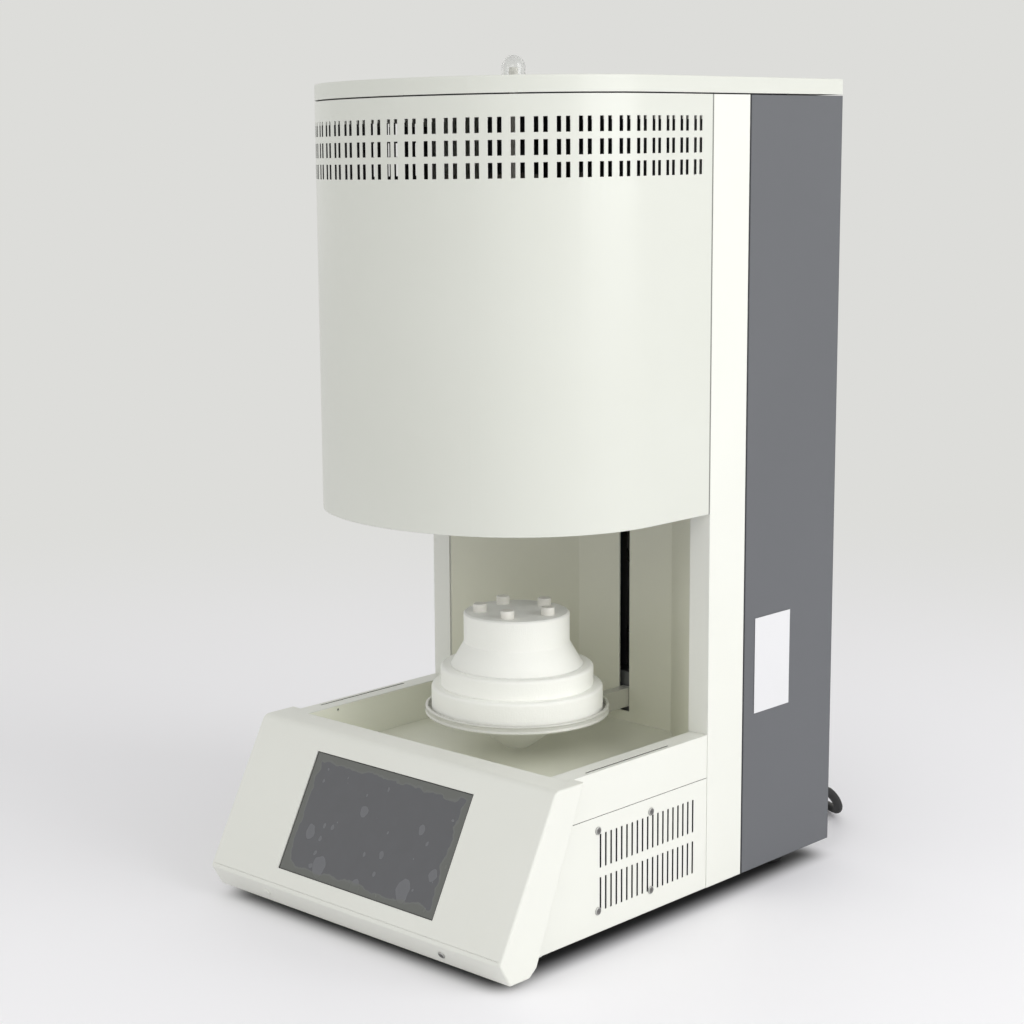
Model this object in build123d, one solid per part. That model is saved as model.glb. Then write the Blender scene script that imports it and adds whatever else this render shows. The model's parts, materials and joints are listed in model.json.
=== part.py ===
from build123d import *
import math
import os

# A bench sintering furnace with a lift table, for firing small ceramic work.
# Millimetres. X runs across the furnace, Y from its front to its back, Z up.
# The origin lies on the table top, under the middle of the footprint.

# Cabinet
base_inset = 0.5
ear_overhang = 12.2
sheet = 1.5
foot_height = 16.0
console_reach = 288.0
column_depth = 193.0
roof_room = 106.0
cover_skirt = 14.0
shadow_gap = 1.2
seam_gap = 0.5
side_gap = 0.3
post_depth = 51.5
post_front = 21.5
post_flange = 20.0
post_groove = 2.2
flange_width = 20.0
cover_edge_radius = 1.2
pan_edge_height = 12.0
tight_bend = 0.3
overshoot = 1.0

# Drum, the curved housing round the firing chamber
drum_room = 22.6
drum_corner_x = 22.1
drum_radius_step = 50.8
bay_opening = 200.5
drum_lip = 10.0
drum_seam = 0.6
vent_columns = 35
vent_pitch = 18.6
vent_row_drop = 39.3
vent_row_pitch = 18.2
vent_row_count = 3
vent_height = 12.6
vent_width = 3.7
vent_spacing = 7.6

# Loading bay
rim_rise = 37.0
rim_width = 18.7
console_top_depth = 27.8
bay_back = 91.0
bay_back_half = 58.0
bay_bend = 3.0
lift_slot_side = 0.75
lift_slot_below = 5.4
lift_slot_above = 11.5
rim_slot_side = 5.0
rim_slot_back = 50.0
rim_slot_margin = 28.5
rim_slot_width = 2.0
wall_hole_radius = 1.2
wall_hole_drop = 4.0
wall_hole_inset = 10.0

# Front console
console_slope = 28.0
fold_height = 12.0
chin_drop = 8.4
chin_lean = 12.5
chin_flat = 23.5
notch_run = 9.0
chin_flange = 21.0
ear_depth = 7.5
chin_extension = 5
bend_radius = 9.0
fold_radius = 2.8
chin_radius = 2.6
ear_radius = 2.0
chin_seam_rise = 3.4
chin_seam_width = 0.5
chin_seam_depth = 0.4
chin_seam_margin = 4.0
screen_width = 194.0
screen_start = 18.0
screen_end = 20.4
screen_fit = 0.3
glass_recess = 1.0
glass_thickness = 1.8
glass_bevel = 0.3
module_margin = 6.0
module_depth = 12.0
chin_screw_side = 71.7

# Side vents and fan
vent_seam_drop = 2.5
side_slots = 19
side_slot_pitch = 7.1
side_slot_width = 2.2
side_slot_length = 30.0
side_slot_last = 20.1
side_slot_drop = 31.2
side_slot_row_pitch = 38.5
fan_size = 80.0
fan_depth = 25.0
fan_bore = 38.0
fan_hole_pitch = 71.5
fan_y = 115.5
fan_below = 15.1
fan_above = 10.9
fan_hub = 14.5
fan_blades = 7
fan_blade_reach = 36.8
fan_shaft = 1.5
fan_shaft_gap = 0.5
fan_corner = 4.0
fan_recess = 2.0
fan_hub_edge = 1.5
fan_blade_pitch = 40.0
fan_blade_chord = 20.0
fan_blade_thickness = 1.4
spider_depth = 3.5
spider_arm = 5.0
spider_turns = (45, 165, 285)
running_clearance = 0.05

# Firing chamber
axis_reach = 65.4
deck_thickness = 3.0
can_gap = 20.7
can_sheet = 1.5
wool_fit = 0.3
mouth_height = 54.5
mouth_clearance = 2.8
step_clearance = 1.8
chamber_radius = 68.0
hot_face_wall = 36.0
wool_wall = 41.7
chamber_depth = 137.5
lid_thickness = 60.0
element_inset = 9.0
element_half_span = 13.0
element_radius = 3.0
terminal_radius = 6.0
element_clear = 34.5
terminal_drop = 5.0
terminal_rise = 40.0
clamp_height = 16.0
clamp_margin = 6.0
strap_thickness = 4.0
strap_margin = 3.0
lug_length = 24.0
probe_radius = 4.0
probe_reach = 38.0
probe_collar = 9.0
probe_collar_height = 8.0
probe_hole_fit = 1.0
dome_radius = 10.5
dome_height = 23.0
dome_wall = 1.2
dome_flange = 1.2
dome_flange_height = 2.0

# Lift table
table_clearance = 1.5
table_rest = 42.0
dish_height = 8.0
dish_sheet = 2.0
dish_gap = 3.3
dish_wall = 1.7
dish_bead = 0.9
dish_bead_height = 1.6
hub_radius = 58.0
hub_foot_radius = 12.0
hub_height = 33.0
plug_base_radius = 79.2
plug_base_thickness = 25.3
plug_middle_step = 8.6
plug_middle_thickness = 18.3
plug_cone_step = 9.6
plug_neck_step = 12.2
plug_cone_height = 21.4
plug_neck_length = 28.0
plug_top_bevel = 1.5
board_edge = 3.0
peg_radius = 6.2
peg_height = 7.5
peg_circle = 33.6
peg_count = 5
peg_turn = 10.0
peg_bevel = 0.6
arm_width = 11.0
arm_drop = 7.5
arm_depth = 18.5
arm_nose = 14.6
carriage_gap = 3.5
carriage_thickness = 6.0
carriage_below = 17.0
carriage_above = 14.5
carriage_margin = 2.0
mast_gap = 6.0
mast_thickness = 4.0
mast_centre = 21.0
mast_half = 21.0
mast_foot = 20.0
rail_centre = 18.0
rail_half = 7.5
rail_depth = 14.0
rail_below = 10.0
rail_clearance = 0.1
rail_block_half = 17.0
rail_block_depth = 32.0
rail_block_inset = 4.0
screw_x = 32.0
screw_offset = 18.0
screw_radius = 5.0
nut_half = 12.0
nut_rise = 13.0
nut_height = 24.0
top_bearing_depth = 12.0
bearing_cap = 2.0
motor_size = 57.0
motor_length = 56.0
motor_seat = 6.0
motor_corner = 4.0
motor_shaft_radius = 3.2
motor_bore = 12.0
bracket_sheet = 4.0
bracket_leg = 2.0
bracket_fit = 0.5
coupling_radius = 9.0
coupling_gap = 4.0
coupling_length = 28.0

# Electrical parts in the base and at the back
transformer_side = 18.0
transformer_y = 105.0
core_width = 110.0
core_room = 13.0
core_depth = 42.0
core_leg = 20.0
coil_depth = 70.0
coil_fit = 0.4
coil_corner = 6.0
board_gap = 15.0
board_y = 115.0
board_width = 130.0
board_length = 100.0
board_sheet = 1.6
standoff = 8.0
standoff_radius = 3.0
standoff_inset = 5.0
# The larger parts on the board: X and Y from its middle, and height
board_parts = [
    (-55.0, -15.0, -40.0, -5.0, 22.4),
    (-50.0, 50.0, 36.0, 46.0, 12.4),
    (5.0, 22.0, -20.0, 8.0, 15.4),
    (27.0, 44.0, -20.0, 8.0, 15.4),
]
switch_side = 58.0
switch_z = 60.0
switch_width = 30.0
switch_height = 22.0
switch_depth = 24.0
switch_fit = 0.3
switch_wall = 2.0
switch_bezel = 1.0
switch_well = 14.0
rocker_pin = 1.5
rocker_pin_depth = 4.0
rocker_side_gap = 0.4
pin_wall = 0.8
pin_reach = 1.1
rocker_tilt = 7.0
# The rocker's side view: Y and Z from its pin
rocker_section = [
    (-5.0, -4.0), (-5.0, 4.0), (2.0, 7.9), (4.6, 7.3), (3.4, 0.0), (4.6, -7.3), (2.0, -7.9),
]
louvre_fields = (190.0, 470.0)
louvre_count = 12
louvre_pitch = 14.0
louvre_width = 110.0
louvre_height = 4.0
screw_head_radius = 3.6
screw_head_height = 1.8
screw_head_crown = 1.0
screw_shank_radius = 1.9
screw_shank_length = 7.0
screw_hole_fit = 0.2
rear_screw_margin = 40.0
roof_rail_front = -25.0
roof_rail_rear = 100.0
roof_rail_half = 12.0
roof_rail_fit = 2.0
cover_screw_front = 94.0
cover_screw_rear = 65.0
foot_radius = 18.0
foot_sole = 14.0
foot_bevel = 1.5
foot_side = 34.5
foot_front = 43.0
foot_rear = 53.0

# Mains lead
gland_x = 136.0
gland_z = 34.0
gland_thread = 7.0
gland_collar = 11.0
gland_collar_depth = 5.0
gland_nose = 8.0
gland_bevel = 2.0
gland_inside = 10.0
gland_reach = 12.0
cord_diameter = 8.8
coil_centre = (6.0, 316.0)
coil_mid_diameter = 105.0
coil_rows = 3
coil_layers = 2
plug_offset = 50.0
plug_start = 14.0
plug_neck = 28.0
plug_length = 38.0
plug_width = 34.0
plug_height = 22.0
plug_corner = 8.0
neck_margin = 1.0
neck_end = 9.0
pin_length = 17.0
pin_width = 6.3
pin_thickness = 1.6
# The plug's flat pins: turn, place across and place up
plug_pins = [(30.0, -7.0, 3.0), (-30.0, 7.0, 3.0), (90.0, 0.0, -6.0)]
cord_route = [
    (136.0, 246.5, 50.0),
    (136.0, 279.0, 50.0),
    (133.0, 307.0, 28.0),
    (120.0, 330.0, 9.0),
    (94.0, 350.0, 4.5),
    (64.0, 362.0, 4.5),
    (36.0, 370.5, 4.5),
]

# Heights above the base, from the pan up to the cover
bay_floor = fan_below + fan_size + fan_above
vent_seam = bay_floor - vent_seam_drop
rim_height = bay_floor + rim_rise
drum_bottom = rim_height + bay_opening
can_height = mouth_height + chamber_depth + lid_thickness
cover_height = drum_bottom + sheet + deck_thickness + can_height + roof_room + cover_skirt
core_height = bay_floor - 2 * sheet - core_room
motor_top = motor_seat + motor_length
coupling_bottom = motor_top + bracket_sheet + coupling_gap
coupling_top = coupling_bottom + coupling_length

# Heights above the base on the lift table, at rest
dish_underside = bay_floor + table_rest
dish_floor = dish_underside + dish_sheet
dish_rim_height = dish_underside + dish_height
hub_foot_height = dish_underside - hub_height
plug_base_top = dish_floor + plug_base_thickness
plug_middle_top = plug_base_top + plug_middle_thickness
plug_neck_height = plug_middle_top + plug_cone_height
plug_top_height = plug_neck_height + plug_neck_length
arm_top = dish_underside - arm_drop
arm_bottom = arm_top - arm_depth
carriage_bottom = arm_bottom - carriage_below
carriage_top = arm_top + carriage_above
nut_bottom = carriage_bottom + nut_rise
nut_top = nut_bottom + nut_height
rail_bottom = carriage_bottom - rail_below
lift_travel = drum_bottom - dish_rim_height - table_clearance

# Widths and radii
hot_face_radius = chamber_radius + hot_face_wall
wool_radius = hot_face_radius + wool_fit + wool_wall
can_radius = wool_radius + wool_fit + can_sheet
half_width = can_radius + can_gap + sheet
inner_half = half_width - sheet
base_half = half_width - base_inset
base_inner = base_half - sheet
console_width = 2 * (base_half + ear_overhang)
strip_inner = half_width - post_front
rim_slot_x = base_half - rim_slot_side
chin_screw_x = console_width / 2 - chin_screw_side
switch_x = base_inner - switch_side
element_pitch_radius = chamber_radius - element_inset
plug_middle_radius = plug_base_radius - plug_middle_step
plug_cone_radius = plug_middle_radius - plug_cone_step
plug_neck_radius = plug_cone_radius - plug_neck_step
dish_radius = plug_base_radius + dish_gap + dish_wall + dish_bead
drum_corner_radius = half_width - drum_corner_x
drum_front_radius = drum_corner_radius + drum_radius_step

# Places in front of and behind the column's face
slope = math.radians(console_slope)
slope_rise = rim_height - fold_height
screen_height = slope_rise / math.cos(slope) - screen_start - screen_end
bay_front = console_reach - slope_rise * math.tan(slope) - console_top_depth
ear_top = bay_front - ear_depth
rim_slot_front = bay_front - rim_slot_margin
chin_front = console_reach - chin_lean
chin_rear = chin_front - chin_flat
chin_notch = chin_rear - notch_run
drum_reach = axis_reach + can_radius + drum_room
carriage_back = bay_back + sheet + carriage_gap + carriage_thickness
screw_y = carriage_back + screw_offset
rail_block_back = carriage_back + rail_block_depth
mast_front = rail_block_back + mast_gap

# Places in the shared frame
column_face = (console_reach - column_depth - gland_reach) / 2
column_rear = column_face + column_depth
cut_depth = 4 * sheet
base_z = foot_height
cover_z = base_z + cover_height - cover_skirt
body_top = cover_z - shadow_gap
axis_y = column_face - axis_reach
deck_z = base_z + drum_bottom + sheet
wool_z = deck_z + deck_thickness
can_top = wool_z + can_height
lid_z = can_top - lid_thickness
first_step_z = base_z + plug_base_top + lift_travel + step_clearance
second_step_z = base_z + plug_middle_top + lift_travel + step_clearance
rim_z = base_z + rim_height
floor_z = base_z + bay_floor
rear_panel_front = column_rear - 2 * sheet
panel_back = rear_panel_front + sheet
panel_front = column_face + post_depth + post_groove
fold_y = column_face - console_reach
screw_axis_y = column_face + screw_y
mast_y = column_face + mast_front
carriage_y = column_face + bay_back + sheet + carriage_gap
fan_axis_y = column_face - fan_y
fan_z = base_z + fan_below + fan_size / 2
transformer_x = transformer_side + core_width / 2 - base_inner
board_x = transformer_x + (core_width + board_width) / 2 + board_gap


def slab(x0, x1, y0, y1, z0, z1):
    """A rectangular block between two corners."""
    middle = Pos((x0 + x1) / 2, (y0 + y1) / 2, (z0 + z1) / 2)
    return middle * Box(x1 - x0, y1 - y0, z1 - z0)


def upright(x, y, z0, z1, radius):
    """A round bar that stands on Z."""
    return Pos(x, y, (z0 + z1) / 2) * Cylinder(radius, z1 - z0)


def crosswise(x0, x1, y, z, radius):
    """A round bar that lies along X."""
    return Pos((x0 + x1) / 2, y, z) * Rot(0, 90, 0) * Cylinder(radius, x1 - x0)


def lengthwise(x, y0, y1, z, radius):
    """A round bar that lies along Y."""
    return Pos(x, (y0 + y1) / 2, z) * Rot(90, 0, 0) * Cylinder(radius, y1 - y0)


def turned(points, x=0.0, y=None):
    """A solid of revolution about an upright axis, from radius and height pairs."""
    centre_y = axis_y if y is None else y
    profile = make_face(Polyline(*[(r, 0, z) for r, z in points], close=True))
    return Pos(x, centre_y, 0) * revolve(profile, Axis.Z)


def mirrored(shape):
    """The same piece for the other side of the furnace."""
    return mirror(shape, Plane.YZ)


def parallel_path(points, distance):
    """The points of a path beside this one, on its right-hand side."""
    lines = []
    for (x0, y0), (x1, y1) in zip(points, points[1:]):
        run = math.hypot(x1 - x0, y1 - y0)
        dx = (x1 - x0) / run
        dy = (y1 - y0) / run
        lines.append((x0 + dy * distance, y0 - dx * distance, dx, dy, run))
    first = lines[0]
    last = lines[-1]
    result = [(first[0], first[1])]
    for (ax, ay, adx, ady, _), (bx, by, bdx, bdy, _) in zip(lines, lines[1:]):
        cross = adx * bdy - ady * bdx
        along = ((bx - ax) * bdy - (by - ay) * bdx) / cross
        result.append((ax + adx * along, ay + ady * along))
    result.append((last[0] + last[2] * last[4], last[1] + last[3] * last[4]))
    return result


def folded_strip(points, radii, thickness):
    """The cross-section of a folded sheet whose outside follows the points."""
    inner = parallel_path(points, thickness)
    inner_radii = []
    for i, radius in enumerate(radii):
        (ax, ay), (bx, by), (cx, cy) = points[i:i + 3]
        bend = (bx - ax) * (cy - by) - (by - ay) * (cx - bx)
        inner_radii.append(radius + thickness if bend > 0 else max(radius - thickness, tight_bend))
    outside = FilletPolyline(*points, radius=radii)
    inside = FilletPolyline(*inner, radius=inner_radii)
    ends = [Line(points[0], inner[0]), Line(points[-1], inner[-1])]
    return make_face(outside.edges() + inside.edges() + ends)


def body_outline(inset, back):
    """The plan of the drum, moved in by the inset and closed by a straight edge at the back."""
    half = half_width - inset
    corner = drum_corner_radius - inset
    front = drum_front_radius - inset
    corner_x = drum_corner_x
    front_y = column_face - drum_reach + drum_front_radius
    corner_y = front_y - math.sqrt(drum_radius_step ** 2 - corner_x ** 2)
    meet = math.atan2(corner_y - front_y, corner_x)
    knee = (corner_x + corner * math.cos(meet), corner_y + corner * math.sin(meet))
    middle = (corner_x + corner * math.cos(meet / 2), corner_y + corner * math.sin(meet / 2))
    right_side = Line((half, back), (half, corner_y))
    right_arc = ThreePointArc((half, corner_y), middle, knee)
    front_arc = ThreePointArc(knee, (0, front_y - front), (-knee[0], knee[1]))
    left_arc = ThreePointArc((-knee[0], knee[1]), (-middle[0], middle[1]), (-half, corner_y))
    left_side = Line((-half, corner_y), (-half, back))
    closing = Line((-half, back), (half, back))
    return make_face([right_side, right_arc, front_arc, left_arc, left_side, closing])


def body_ring(outer_inset, inner_inset, z0, z1):
    """A band that follows the drum's plan, open at the back, a fine seam short of the posts."""
    outer = body_outline(outer_inset, column_face - drum_seam)
    inner = body_outline(inner_inset, column_face + overshoot)
    return Pos(0, 0, z0) * extrude(outer - inner, z1 - z0)


def drum_station(distance):
    """Place and outward direction on the drum, at a distance round it from its middle."""
    corner_x = drum_corner_x
    front_y = column_face - drum_reach + drum_front_radius
    corner_y = front_y - math.sqrt(drum_radius_step ** 2 - corner_x ** 2)
    knee_turn = math.atan2(corner_x, front_y - corner_y)
    side = math.copysign(1, distance)
    reach = abs(distance)
    front_length = drum_front_radius * knee_turn
    corner_length = drum_corner_radius * (math.pi / 2 - knee_turn)
    if reach < front_length:
        turn = reach / drum_front_radius
        x = drum_front_radius * math.sin(turn)
        y = front_y - drum_front_radius * math.cos(turn)
    elif reach < front_length + corner_length:
        turn = knee_turn + (reach - front_length) / drum_corner_radius
        x = corner_x + drum_corner_radius * math.sin(turn)
        y = corner_y - drum_corner_radius * math.cos(turn)
    else:
        turn = math.pi / 2
        x = half_width
        y = corner_y + reach - front_length - corner_length
    return side * x, y, side * math.degrees(turn)


def pan_head(x, y, z, turn_x=0.0, turn_y=0.0):
    """A pan-head screw whose head sits on the point and whose shank runs down its own -Z."""
    head = Pos(0, 0, screw_head_height / 2) * Cylinder(screw_head_radius, screw_head_height)
    top = head.edges().sort_by(Axis.Z)[-1:]
    head = fillet(top, screw_head_crown)
    shank = Pos(0, 0, -screw_shank_length / 2) * Cylinder(screw_shank_radius, screw_shank_length)
    return Pos(x, y, z) * Rot(turn_x, turn_y, 0) * (head + shank)


# Base

def base_pan():
    """The bottom pan, with turned-up edges beside the base panels."""
    front = column_face - chin_notch + 2 * sheet
    plate = slab(-base_inner, base_inner, front, rear_panel_front, base_z, base_z + sheet)
    edge = slab(base_inner - sheet, base_inner, front, column_face, base_z + sheet, base_z + pan_edge_height)
    return plate + edge + mirrored(edge)


def foot_places():
    x = base_half - foot_side
    rear = column_rear - foot_rear
    front = column_face - chin_notch + foot_front
    return [(side * x, y) for side in (-1, 1) for y in (front, rear)]


def rubber_feet():
    """Four turned rubber feet under the bottom pan."""
    edge = foot_sole + foot_bevel
    profile = [(0, 0), (foot_sole, 0), (edge, foot_bevel), (foot_radius, base_z), (0, base_z)]
    return Compound(children=[turned(profile, x, y) for x, y in foot_places()])


def bay_tray():
    """The folded tray that is the loading bay's floor, its low walls and their broad rims."""
    wall = base_half - rim_width
    front = column_face - bay_front
    floor_bottom = floor_z - sheet
    floor = slab(-wall, wall, front, column_face, floor_bottom, floor_z)
    tongue_points = [
        (-strip_inner, column_face),
        (-bay_back_half - 2 * sheet, column_face + bay_back + 2 * sheet),
        (bay_back_half + 2 * sheet, column_face + bay_back + 2 * sheet),
        (strip_inner, column_face),
    ]
    tongue = Pos(0, 0, floor_bottom) * extrude(make_face(Polyline(*tongue_points, close=True)), sheet)
    front_wall = slab(-wall - sheet, wall + sheet, front - sheet, front, floor_bottom, rim_z - sheet)
    inner_wall = slab(wall, wall + sheet, front, column_face, floor_bottom, rim_z)
    rim = slab(wall, base_half, front, column_face, rim_z - sheet, rim_z)
    skirt = slab(base_inner, base_half, front, column_face, base_z + vent_seam, rim_z)
    slot_y = column_face - (rim_slot_front + rim_slot_back) / 2
    slot = Pos(rim_slot_x, slot_y, rim_z) * Box(rim_slot_width, rim_slot_front - rim_slot_back, cut_depth)
    hole_y = column_face - rim_slot_front + wall_hole_inset
    hole = crosswise(wall - overshoot, wall + sheet + overshoot, hole_y, rim_z - wall_hole_drop,
                     wall_hole_radius)
    side = inner_wall + rim + skirt - slot - hole
    return floor + tongue + front_wall + side + mirrored(side)


def console_outline():
    """The console's side view: chin, fold, sloping face and the bend onto the rim."""
    return {
        "notch": (column_face - chin_notch, base_z - sheet),
        "chin_rear": (column_face - chin_rear, base_z - chin_drop),
        "chin_front": (column_face - chin_front, base_z - chin_drop),
        "fold": (fold_y, base_z + fold_height),
        "bend": (fold_y + slope_rise * math.tan(slope), rim_z),
        "ear": (column_face - ear_top, rim_z),
    }


def screen_place(depth):
    """The middle of the screen, at a depth outwards from the sloping face."""
    return console_face() * Pos(0, screen_start + screen_height / 2, depth)


def console_face():
    """The plane of the sloping face, from the middle of the fold upwards."""
    return Plane(origin=(0, fold_y, base_z + fold_height), x_dir=(1, 0, 0),
                 z_dir=(0, -math.cos(slope), math.sin(slope)))


def console_block(points, wall, half):
    """A solid with the console's side view, its corners rounded, between two sides."""
    radii = [radius - wall for radius in (chin_radius, chin_radius, fold_radius, bend_radius)]
    outline = FilletPolyline(*points, radius=radii)
    profile = make_face(outline.edges() + [Line(points[-1], points[0])])
    return Pos(-half, 0, 0) * extrude(Plane.YZ * profile, 2 * half)


def console_inside():
    """The space inside the console: open behind its middle, closed behind its two ears."""
    p = console_outline()
    names = ("notch", "chin_rear", "chin_front", "fold", "bend", "ear")
    ring = [p[k] for k in ("ear",) + names + ("notch",)]
    closed = console_block(parallel_path(ring, sheet)[1:-1], sheet, console_width / 2 - sheet)
    run_y = p["notch"][0] - p["chin_rear"][0]
    run_z = p["notch"][1] - p["chin_rear"][1]
    path = [p[k] for k in names]
    path[0] = (path[0][0] + chin_extension * run_y, path[0][1] + chin_extension * run_z)
    path[-1] = (column_face, rim_z)
    open_part = console_block(parallel_path(path, sheet), sheet, base_half + side_gap)
    return closed + open_part


def front_console():
    """The folded front, with a window for the screen and an ear at each side."""
    p = console_outline()
    half = console_width / 2
    middle = base_half + side_gap
    points = [p[k] for k in ("notch", "chin_rear", "chin_front", "fold", "bend", "ear")]
    outer = console_block(points, 0, half)
    sides = outer.faces().sort_by(Axis.X)
    outer = fillet(sides[0].edges() + sides[-1].edges(), ear_radius)
    tray_front = column_face - bay_front
    tray_room = slab(-middle, middle, tray_front, column_face, rim_z - cut_depth, rim_z + overshoot)
    notch_y = p["notch"][0]
    flange = slab(-base_inner, base_inner, notch_y, notch_y + chin_flange, base_z - sheet, base_z)
    window = screen_place(0) * Box(screen_width + 2 * screen_fit, screen_height + 2 * screen_fit, cut_depth)
    seam = console_face() * Pos(0, chin_seam_rise, 0) \
        * Box(console_width - 2 * chin_seam_margin, chin_seam_width, 2 * chin_seam_depth)
    hole = chin_screw_place() * Cylinder(screw_shank_radius + screw_hole_fit, cut_depth)
    return outer - console_inside() - tray_room + flange - window - seam - hole - mirrored(hole)


def chin_screw_place():
    """The point on the chin's front where a screw goes in, square to the surface."""
    p = console_outline()
    low_y, low_z = p["chin_front"]
    high_y, high_z = p["fold"]
    lean = math.degrees(math.atan2(low_y - high_y, high_z - low_z))
    middle_y = (low_y + high_y) / 2
    middle_z = (low_z + high_z) / 2
    return Pos(chin_screw_x, middle_y, middle_z) * Rot(90 + lean, 0, 0)


def screen_glass():
    """The touch glass, let into the window a little below the sheet."""
    glass = Box(screen_width, screen_height, glass_thickness)
    glass = chamfer(glass.faces().sort_by(Axis.Z)[-1].edges(), glass_bevel)
    return screen_place(-glass_recess - glass_thickness / 2) * glass


def display_module():
    """The display and its frame, against the back of the sloping sheet, with a bed for the glass."""
    width = screen_width + 2 * module_margin
    height = screen_height + 2 * module_margin
    case = screen_place(-sheet - module_depth / 2) * Box(width, height, module_depth)
    bed_depth = 2 * (glass_recess + glass_thickness - sheet)
    bed = Box(screen_width + 2 * screen_fit, screen_height + 2 * screen_fit, bed_depth)
    return case - screen_place(-sheet) * bed


def side_slot_places():
    last = column_face - side_slot_last
    high = base_z + vent_seam - side_slot_drop
    rows = (high - side_slot_row_pitch, high)
    return [(last - i * side_slot_pitch, z) for i in range(side_slots) for z in rows]


def fan_screw_places():
    reach = fan_hole_pitch / 2
    return [(fan_axis_y + i * reach, fan_z + j * reach) for i in (-1, 1) for j in (-1, 1)]


def vent_panel(with_fan):
    """A flat side panel of the base with two rows of upright slots."""
    front = column_face - chin_notch + 4 * sheet
    panel = slab(base_inner, base_half, front, column_face, base_z, base_z + vent_seam - seam_gap)
    middle = base_half - sheet / 2
    cutters = [Pos(middle, y, z) * Box(cut_depth, side_slot_width, side_slot_length)
               for y, z in side_slot_places()]
    if with_fan:
        radius = screw_shank_radius + screw_hole_fit
        cutters += [crosswise(base_inner - sheet, base_half + sheet, y, z, radius)
                    for y, z in fan_screw_places()]
    return panel - cutters


def fan_frame():
    """The square fan housing with its round duct and the spider that holds the hub."""
    back = base_inner - fan_depth
    half = fan_size / 2
    box = slab(back, base_inner, fan_axis_y - half, fan_axis_y + half, fan_z - half, fan_z + half)
    duct = crosswise(back - overshoot, base_inner + overshoot, fan_axis_y, fan_z, fan_bore)
    frame = fillet(box.edges().filter_by(Axis.X), fan_corner) - duct
    hub = crosswise(back, back + spider_depth, fan_axis_y, fan_z, fan_hub)
    arm_box = Box(spider_depth, spider_arm, fan_bore - fan_hub + 2 * overshoot)
    arms = [Pos(back + spider_depth / 2, fan_axis_y, fan_z) * Rot(turn, 0, 0)
            * Pos(0, 0, (fan_hub + fan_bore) / 2) * arm_box for turn in spider_turns]
    shaft_hole = crosswise(back - overshoot, back + spider_depth + overshoot, fan_axis_y, fan_z,
                           fan_shaft + running_clearance)
    holes = [crosswise(back - overshoot, base_inner + overshoot, y, z, screw_shank_radius + screw_hole_fit)
             for y, z in fan_screw_places()]
    return frame + hub + arms - shaft_hole - holes


def fan_rotor():
    """The fan's hub with its twisted blades and its shaft."""
    back = base_inner - fan_depth
    hub_start = back + spider_depth + side_gap
    hub_end = base_inner - fan_recess
    hub = crosswise(hub_start, hub_end, fan_axis_y, fan_z, fan_hub)
    hub = fillet(hub.edges().sort_by(Axis.X)[-1], fan_hub_edge)
    shaft = crosswise(back + fan_shaft_gap, hub_start + overshoot, fan_axis_y, fan_z, fan_shaft)
    length = fan_blade_reach - fan_hub + 2 * overshoot
    blade = Rot(0, 0, fan_blade_pitch) * Box(fan_blade_thickness, fan_blade_chord, length)
    blade = Pos(0, 0, (fan_hub + fan_blade_reach) / 2) * blade
    limit = Rot(0, 90, 0) * Cylinder(fan_blade_reach, hub_end - hub_start - 2 * overshoot)
    middle = Pos((hub_start + hub_end) / 2, fan_axis_y, fan_z)
    blades = [middle * ((Rot(360 * i / fan_blades, 0, 0) * blade) & limit) for i in range(fan_blades)]
    return hub + shaft + blades


# Column

def column_post():
    """The right-hand post: a folded channel from the base to the cover."""
    rest = base_z + sheet
    back = column_face + post_depth
    side = slab(inner_half, half_width, column_face, back, base_z, body_top)
    front = slab(strip_inner, half_width, column_face, column_face + sheet, rest, body_top)
    flange = slab(half_width - post_flange, half_width, back - sheet, back, rest, body_top)
    return side + front + flange


def bay_back_panel():
    """The folded back of the loading bay, with the slot in which the lift arm runs."""
    back = column_face + bay_back
    path = [(-strip_inner, column_face + sheet), (-bay_back_half, back), (bay_back_half, back),
            (strip_inner, column_face + sheet)]
    section = folded_strip(path[::-1], [bay_bend, bay_bend], sheet)
    panel = Pos(0, 0, floor_z) * extrude(section, deck_z - floor_z)
    slot_bottom = base_z + arm_bottom - lift_slot_below
    slot_top = base_z + arm_top + lift_travel + lift_slot_above
    slot_half = arm_width / 2 + lift_slot_side
    slot = slab(-slot_half, slot_half, back - 2 * sheet, back + 2 * sheet, slot_bottom, slot_top)
    below_posts = slab(-strip_inner, strip_inner, column_face + sheet, back + 2 * sheet, floor_z, deck_z)
    return (panel & below_posts) - slot


def side_panel():
    """The right-hand side panel, folded inwards along all four of its edges."""
    low = base_z + sheet
    side = slab(inner_half, half_width, panel_front, column_rear, base_z, body_top)
    front = slab(half_width - flange_width, half_width, panel_front, panel_front + sheet, low, body_top)
    rear = slab(half_width - flange_width, half_width, column_rear - sheet, column_rear, low, body_top)
    top = slab(half_width - flange_width, half_width, panel_front, column_rear - sheet,
               body_top - sheet, body_top)
    bottom = slab(half_width - flange_width, half_width, panel_front, rear_panel_front, low, low + sheet)
    return side + front + rear + top + bottom - rear_screw_holes()


def rear_screw_places():
    x = half_width - flange_width / 2
    low = base_z + rear_screw_margin
    high = body_top - rear_screw_margin
    return [(side * x, z) for side in (-1, 1) for z in (low, (low + high) / 2, high)]


def rear_screw_holes():
    """The holes for the screws that join the rear panel to the side panels."""
    radius = screw_shank_radius + screw_hole_fit
    front = rear_panel_front - overshoot
    rear = column_rear + overshoot
    return [lengthwise(x, front, rear, z, radius) for x, z in rear_screw_places()]


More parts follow.
